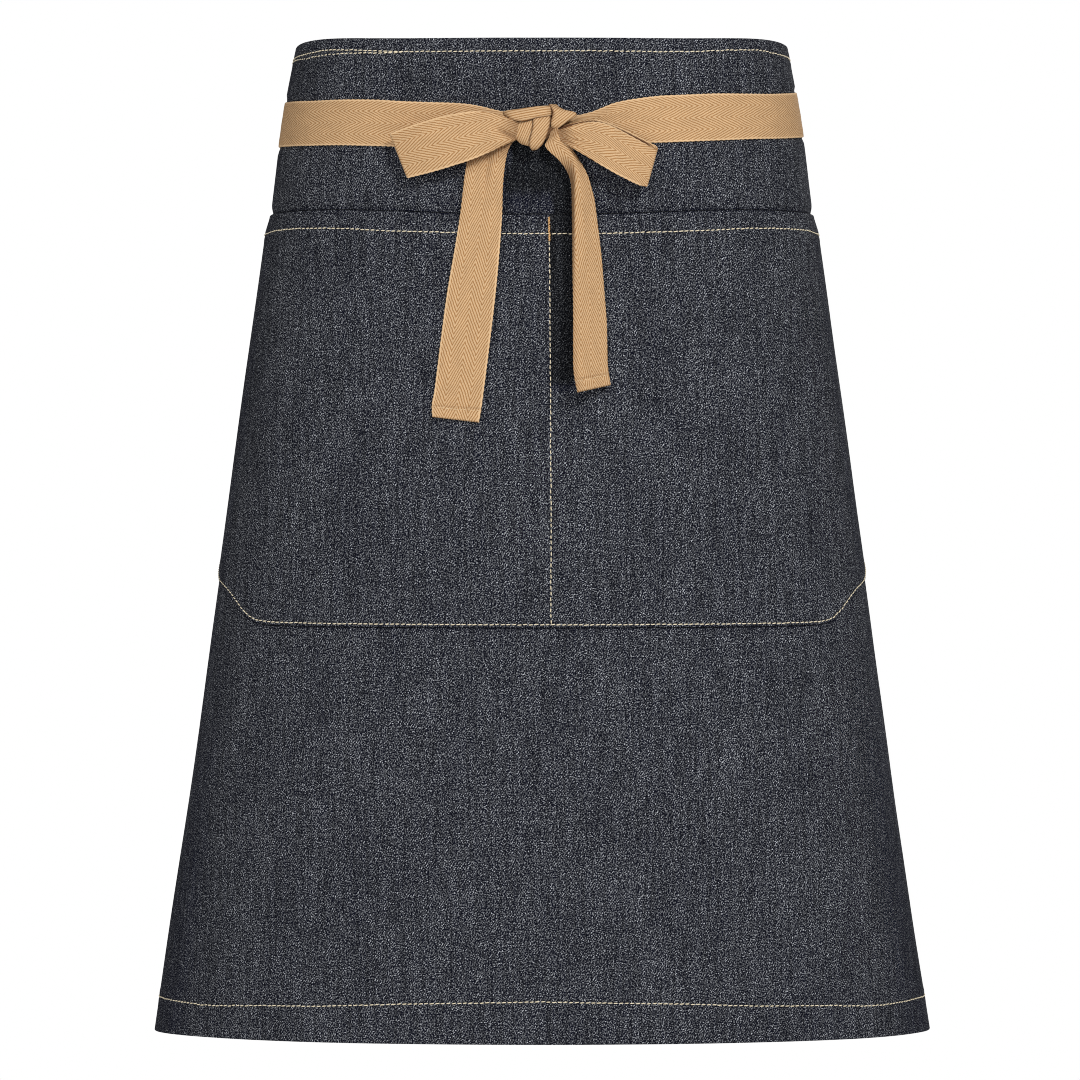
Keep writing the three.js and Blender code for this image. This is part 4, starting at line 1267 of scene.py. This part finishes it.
def right_loop_relief(x, y, share, along, _):
    near = along < 0.5
    push = 0.8 * loop_arch(share, along) - pleats(x, y, RIGHT_LOOP_PLEATS) * near
    # Painted shade over the back layer's face, except its top edge, which shows through the loop's
    # open top; and along the front layer's top lip
    inside = smoothstep(0.52, 0.56, along) * (1 - smoothstep(0.945, 0.975, share)) * 0.9
    lip = 0.35 * (1 - smoothstep(0.0, 0.035, 1 - share)) * near
    shade = np.maximum(np.maximum(fold_shade(push), loop_root(along) * 0.5), inside)
    return push, np.maximum(shade, lip)


def left_tail_relief(x, y, share, along, _):
    hollow = -0.5 * np.sin(share * math.pi) * smoothstep(0.2, 0.4, along)
    wave = 0.3 * np.sin(along * 15 + share * 3) * smoothstep(0.25, 0.6, along)
    gathered = -groove(x, y, *LEFT_TAIL_PLEAT)
    under = 1 - smoothstep(*UNDER_LOOP, y + (x - UNDER_LOOP_AT) * UNDER_LOOP_SLANT)
    return hollow + wave + gathered, np.maximum(fold_shade(gathered), 0.55 * under)


def right_tail_relief(x, y, share, along, more):
    at, high = more[:, 0:1], more[:, 1:2]
    tent = np.minimum(share / at, (1 - share) / (1 - at))
    push = high * (tent - 0.18 * bell(1 - tent, 0.2))
    # Painted shade on the strip left of the lengthwise fold, which turns away from the light,
    # fainter further down; and where the tail comes out of the knot
    turned = smoothstep(0.03, -0.03, share - at) * smoothstep(0.1, 0.2, along) * 0.5
    turned = turned * (1 - smoothstep(0.35, 0.6, along) * 0.6)
    wave = 0.25 * np.sin(along * 13 + share * 2) * smoothstep(0.4, 0.7, along)
    root = 0.4 * (1 - smoothstep(0.02, 0.06, along))
    return push + wave, np.maximum(turned, root)


# The knot


# Its ribs crowd a little where the tape is pulled tight
PULLED = 1.12
BAND_ROWS, BAND_LINES = 46, 23
# Each band's rows: its left or top edge and its right or bottom one in the front view, how far
# out each of them stands, and the row's share of the crown between them
UPPER_BAND = [
    (502.5, 112.2, 503.5, 114.6, 5.2, 5.2, 0.3),
    (506.5, 110.8, 507.2, 116.6, 7.4, 7.6, 0.7),
    (511, 110.2, 511, 118.6, 9, 9.4, 1),
    (516.5, 109.6, 515.5, 120.6, 10, 10.8, 1),
    (526, 108.2, 524.5, 121.2, 11, 12.2, 1),
    (537, 106.8, 536, 118, 11.2, 12.6, 1),
    (545, 106.2, 545, 116.6, 10.6, 12, 1),
    (549.6, 106, 549.8, 115.8, 9, 10.4, 0.8),
    (553, 106.4, 553, 115.2, 6.6, 8, 0.5),
]
RIGHT_BAND = [
    (548.2, 103.9, 556, 103.6, 3.5, 3, 0.3),
    (549.2, 105.2, 559.5, 107.4, 8, 5.5, 0.9),
    (551.3, 108.6, 566, 110.8, 10.8, 7.4, 1),
    (552.3, 112.6, 575.5, 112.6, 11.6, 7.2, 1),
    (551.6, 117, 576.5, 115.6, 11.8, 7.6, 1),
    (550.8, 121, 568.5, 120.6, 11.4, 8.8, 1),
    (550.6, 124.6, 561.5, 125.4, 10.4, 9.2, 0.9),
    (551.2, 127.6, 556.2, 128.6, 8.6, 8.4, 0.6),
]
LEAF_BAND = [
    (531.5, 117.2, 550.5, 113.6, 9, 8.6, 0.5),
    (532.6, 121.4, 550.6, 118.8, 12.2, 11, 1),
    (532.4, 127.8, 549.8, 124.8, 13.4, 12, 1),
    (530.9, 134.6, 548, 131.4, 13.4, 11.8, 1),
    (529.4, 140.6, 545.6, 138, 12.6, 11, 1),
    (529.2, 145.2, 542.6, 143.8, 11.4, 10, 1),
    (530.8, 148.4, 538.6, 147.8, 9.6, 9, 0.9),
    (532.9, 150.3, 535.4, 150.1, 7.6, 7.4, 0.5),
]
LEFT_BAND = [
    (517.4, 119, 534.5, 117.6, 7, 9.6, 0.6),
    (516.4, 124.4, 534.8, 124, 8, 11.6, 1),
    (514.8, 130.6, 533.8, 130, 8.2, 11.8, 1),
    (515.2, 136, 532.4, 137.4, 7.8, 11.4, 1),
    (518, 140.6, 531.2, 143, 7, 10.2, 1),
    (523, 144.2, 530.4, 146.6, 6, 8.4, 0.8),
]
# rows, the ribs' angle, crown, and how deep the painted shade along the two edges is
KNOT_BANDS = [
    (UPPER_BAND, 10, 1.9, (0.25, 1.0)),
    (RIGHT_BAND, 38, 1.7, (1.0, 0.45)),
    (LEAF_BAND, 50, 2.1, (0.95, 0.95)),
    (LEFT_BAND, 66, 1.9, (0.6, 0.8)),
]


def smooth_rows(rows, count):
    """Smooth rows through given ones, spaced by their lengths."""
    rows = np.asarray(rows, float)
    middle = np.stack([(rows[:, 0] + rows[:, 2]) / 2, (rows[:, 1] + rows[:, 3]) / 2], -1)
    steps = np.linalg.norm(np.diff(middle, axis=0), axis=1)
    run = np.concatenate([[0], np.cumsum(np.maximum(steps, 0.5))])
    keyed = np.concatenate([run[:, None], rows], 1)
    return table(keyed, np.linspace(0, run[-1], count)).T


def knot_band(rows, rib_angle, crown):
    """A band's points and flat places, with its ribs at an angle in the front view."""
    rows = smooth_rows(rows, BAND_ROWS)
    share = np.linspace(0, 1, BAND_LINES)
    share = 0.5 - 0.5 * np.cos(share * math.pi) * 0.35 - 0.5 * (1 - 2 * share) * 0.65
    x, y, out = spanned(rows, share)
    arch = np.sqrt(np.clip(1 - (2 * share - 1) ** 2, 0, 1)) * crown * rows[:, 6:7]
    angle = math.radians(rib_angle)
    ribs = ((x - KNOT_PX) * math.sin(angle) + (y - KNOT_PY) * math.cos(angle)) * PX
    one_stripe = np.full(x.shape, -TAPE_WIDTH * 3 / 8)
    return seen(x, y, out + arch), np.stack([ribs * PULLED / RIB_SIN, one_stripe], -1)


def from_ends(count):
    """How many steps each of some lines is from the nearer end."""
    return np.minimum(np.arange(count), np.arange(count)[::-1])


def knot_piece():
    """The knot's folded bands as one mesh."""
    edge, end = from_ends(BAND_LINES)[None], from_ends(BAND_ROWS)[:, None]
    half = np.minimum(rounded(edge * 0.25, TAPE_WALL), rounded(end * 0.3, TAPE_WALL))
    side = bell(np.arange(BAND_LINES), 2.3)
    bands, start = [], 0
    for rows, angle, crown, (dark_first, dark_last) in KNOT_BANDS:
        grid, uv = knot_band(rows, angle, crown)
        normal = grid_normal(grid)
        if normal[..., 1].mean() > 0:
            normal = -normal
        # Painted shade along the edges that other bands cover, and at both ends of the band
        sides = np.maximum(dark_first * side, dark_last * side[::-1])
        deep = np.maximum(sides[None], 0.4 * bell(end, 1.8))
        points, faces, flat, deep = shell(grid, normal, half, uv, deep)
        bands.append((points, faces + start, flat, deep))
        start += len(points)
    points, faces, flat, deep = (np.concatenate(each) for each in zip(*bands))
    return add_mesh("knot_bands", points, faces, flat, [TAPE_CLOTH], shade=deep)


# right, out and up from the knot's place
CORE_AT, CORE_SIZE = (-0.5, 6.2, 0.9), (13.2, 4.6, 8.8)
CORE_ROWS, CORE_SIDES = 28, 56


def knot_core():
    """The inside of the knot, which shows only between its bands, and carries painted shade all
    over.
    """
    around = np.linspace(0, 2 * math.pi, CORE_SIDES, endpoint=False)
    u, w = np.meshgrid(np.linspace(0, math.pi, CORE_ROWS), around, indexing="ij")
    x = CORE_AT[0] + CORE_SIZE[0] * np.sin(u) * np.cos(w)
    out = CORE_AT[1] + CORE_SIZE[1] * np.sin(u) * np.sin(w)
    z = CORE_AT[2] + CORE_SIZE[2] * np.cos(u)
    points = bow_point(x, z, out).reshape(-1, 3)
    faces = ring_quads(np.arange(u.size).reshape(u.shape))
    flat = np.stack([x * 1.8, z], -1).reshape(-1, 2)
    return add_mesh("knot_core", points, faces, flat, [TAPE_CLOTH], shade=0.75)


# Camera, light and floor


CAMERA_AT, CAMERA_LENS, CAMERA_FILM = (-0.0012, -4.1, -0.252), 227.8, 36
LIGHTS_AIM = (0, 0, -0.25)
# name, place, size, power
LIGHTS = [
    ("key_light", (1.7, -3.5, 2.3), 0.7, 98),
    ("fill_light", (-1.5, -3.6, 0.6), 2.4, 42),
    ("back_light", (0.6, 3.8, 1.4), 2.2, 60),
]
WORLD_LIGHT = 0.22
FLOOR_RADIUS, FLOOR_Z, FLOOR_SIDES = 4.4, -1.0, 96


def camera():
    data = bpy.data.cameras.new("camera")
    data.lens = CAMERA_LENS
    data.sensor_width = CAMERA_FILM
    data.clip_end = 60
    made = link("camera", data)
    made.location = CAMERA_AT
    made.rotation_euler = (math.pi / 2, 0, 0)
    bpy.context.scene.camera = made


def area_light(name, place, size, power):
    data = bpy.data.lights.new(name, "AREA")
    data.shape = "SQUARE"
    data.size = size
    data.energy = power
    made = link(name, data)
    made.location = place
    x, y, z = (aim - own for aim, own in zip(LIGHTS_AIM, place))
    made.rotation_euler = (math.atan2(math.hypot(x, y), -z), 0, math.atan2(y, x) - math.pi / 2)


def studio():
    """A soft world for the object, which the camera itself sees as plain white."""
    scene = bpy.context.scene
    # The weave stays crisp: the denoiser's guides aren't smoothed, and the pixel filter is narrow
    scene.cycles.denoising_prefilter = "NONE"
    scene.cycles.filter_width = 1.0
    scene.view_settings.view_transform = "Standard"
    scene.view_settings.look = "None"
    scene.world = bpy.data.worlds.new("studio")
    scene.world.use_nodes = True
    tree = scene.world.node_tree
    tree.nodes.clear()
    mixed = tree.nodes.new("ShaderNodeMixShader")
    path = tree.nodes.new("ShaderNodeLightPath")
    tree.links.new(path.outputs["Is Camera Ray"], mixed.inputs[0])
    for number, strength in enumerate((WORLD_LIGHT, 1.0)):
        light = tree.nodes.new("ShaderNodeBackground")
        light.inputs[0].default_value = (1, 1, 1, 1)
        light.inputs[1].default_value = strength
        tree.links.new(light.outputs[0], mixed.inputs[number + 1])
    out = tree.nodes.new("ShaderNodeOutputWorld")
    tree.links.new(mixed.outputs[0], out.inputs[0])


def floor():
    turn = np.linspace(0, 2 * math.pi, FLOOR_SIDES, endpoint=False)
    rim = [(FLOOR_RADIUS * math.cos(a), FLOOR_RADIUS * math.sin(a), FLOOR_Z) for a in turn]
    mesh = bpy.data.meshes.new("floor")
    mesh.from_pydata(rim, [], [range(FLOOR_SIDES)])
    n = Nodes("floor")
    shader = n.node("ShaderNodeBsdfPrincipled")
    shader.inputs["Base Color"].default_value = (0.9, 0.9, 0.9, 1)
    shader.inputs["Roughness"].default_value = 0.9
    mesh.materials.append(n.output(shader))
    link("floor", mesh)


camera()
for light in LIGHTS:
    area_light(*light)
studio()
floor()

panel = panel_piece()
pocket = pocket_piece()
seams = seam_pieces()
tie_left, tie_left_length = waist_tape("tie_left", -1, 0.0)
tie_right, tie_right_length = waist_tape("tie_right", 1, 0.85)
left_rows = loop_rows(LEFT_LOOP_FRONT, LEFT_LOOP_BACK, 2.1, (-0.955, 0.297))
right_rows = loop_rows(RIGHT_LOOP_FRONT, RIGHT_LOOP_BACK, 2.4, (0.966, 0.259))
loop_left, loop_left_length, *_ = bow_tape("loop_left", left_rows, left_loop_relief)
loop_right, loop_right_length, *_ = bow_tape("loop_right", right_rows, right_loop_relief)
tail_left, tail_left_length, *left_grid = bow_tape(
    "tail_left", LEFT_TAIL, left_tail_relief, True, TAIL_HEM
)
tail_right, tail_right_length, *right_grid = bow_tape(
    "tail_right", RIGHT_TAIL, right_tail_relief, True, TAIL_HEM
)
knot = knot_piece()
core = knot_core()
tie_seam = tie_stitches()
left_hem = tail_stitches("stitching_tail_left", *left_grid)
right_hem = tail_stitches("stitching_tail_right", *right_grid)

for piece, node, slot in (
    (panel, "apron_panel", "denim"),
    (pocket, "pocket_panel", "denim"),
    (tie_left, "waist_tape_left", "tape"),
    (tie_right, "waist_tape_right", "tape"),
    (loop_left, "bow_loop_left", "tape"),
    (loop_right, "bow_loop_right", "tape"),
    (tail_left, "tie_tail_left", "tape"),
    (tail_right, "tie_tail_right", "tape"),
    (knot, "bow_knot", "tape"),
):
    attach(piece, "root")
    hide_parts(node)
for piece in [*seams, core, tie_seam, left_hem, right_hem]:
    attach(piece, "root")

for piece, length, held, carrier in (
    (tie_left, tie_left_length, "stretched", "denim_panel"),
    (tie_right, tie_right_length, "stretched", "denim_panel"),
    (loop_left, loop_left_length, "folded", "knot_bands"),
    (loop_right, loop_right_length, "folded", "knot_bands"),
):
    length * MM
for piece, length, hem in (
    (tail_left, tail_left_length, left_hem),
    (tail_right, tail_right_length, right_hem),
):
    length * MM
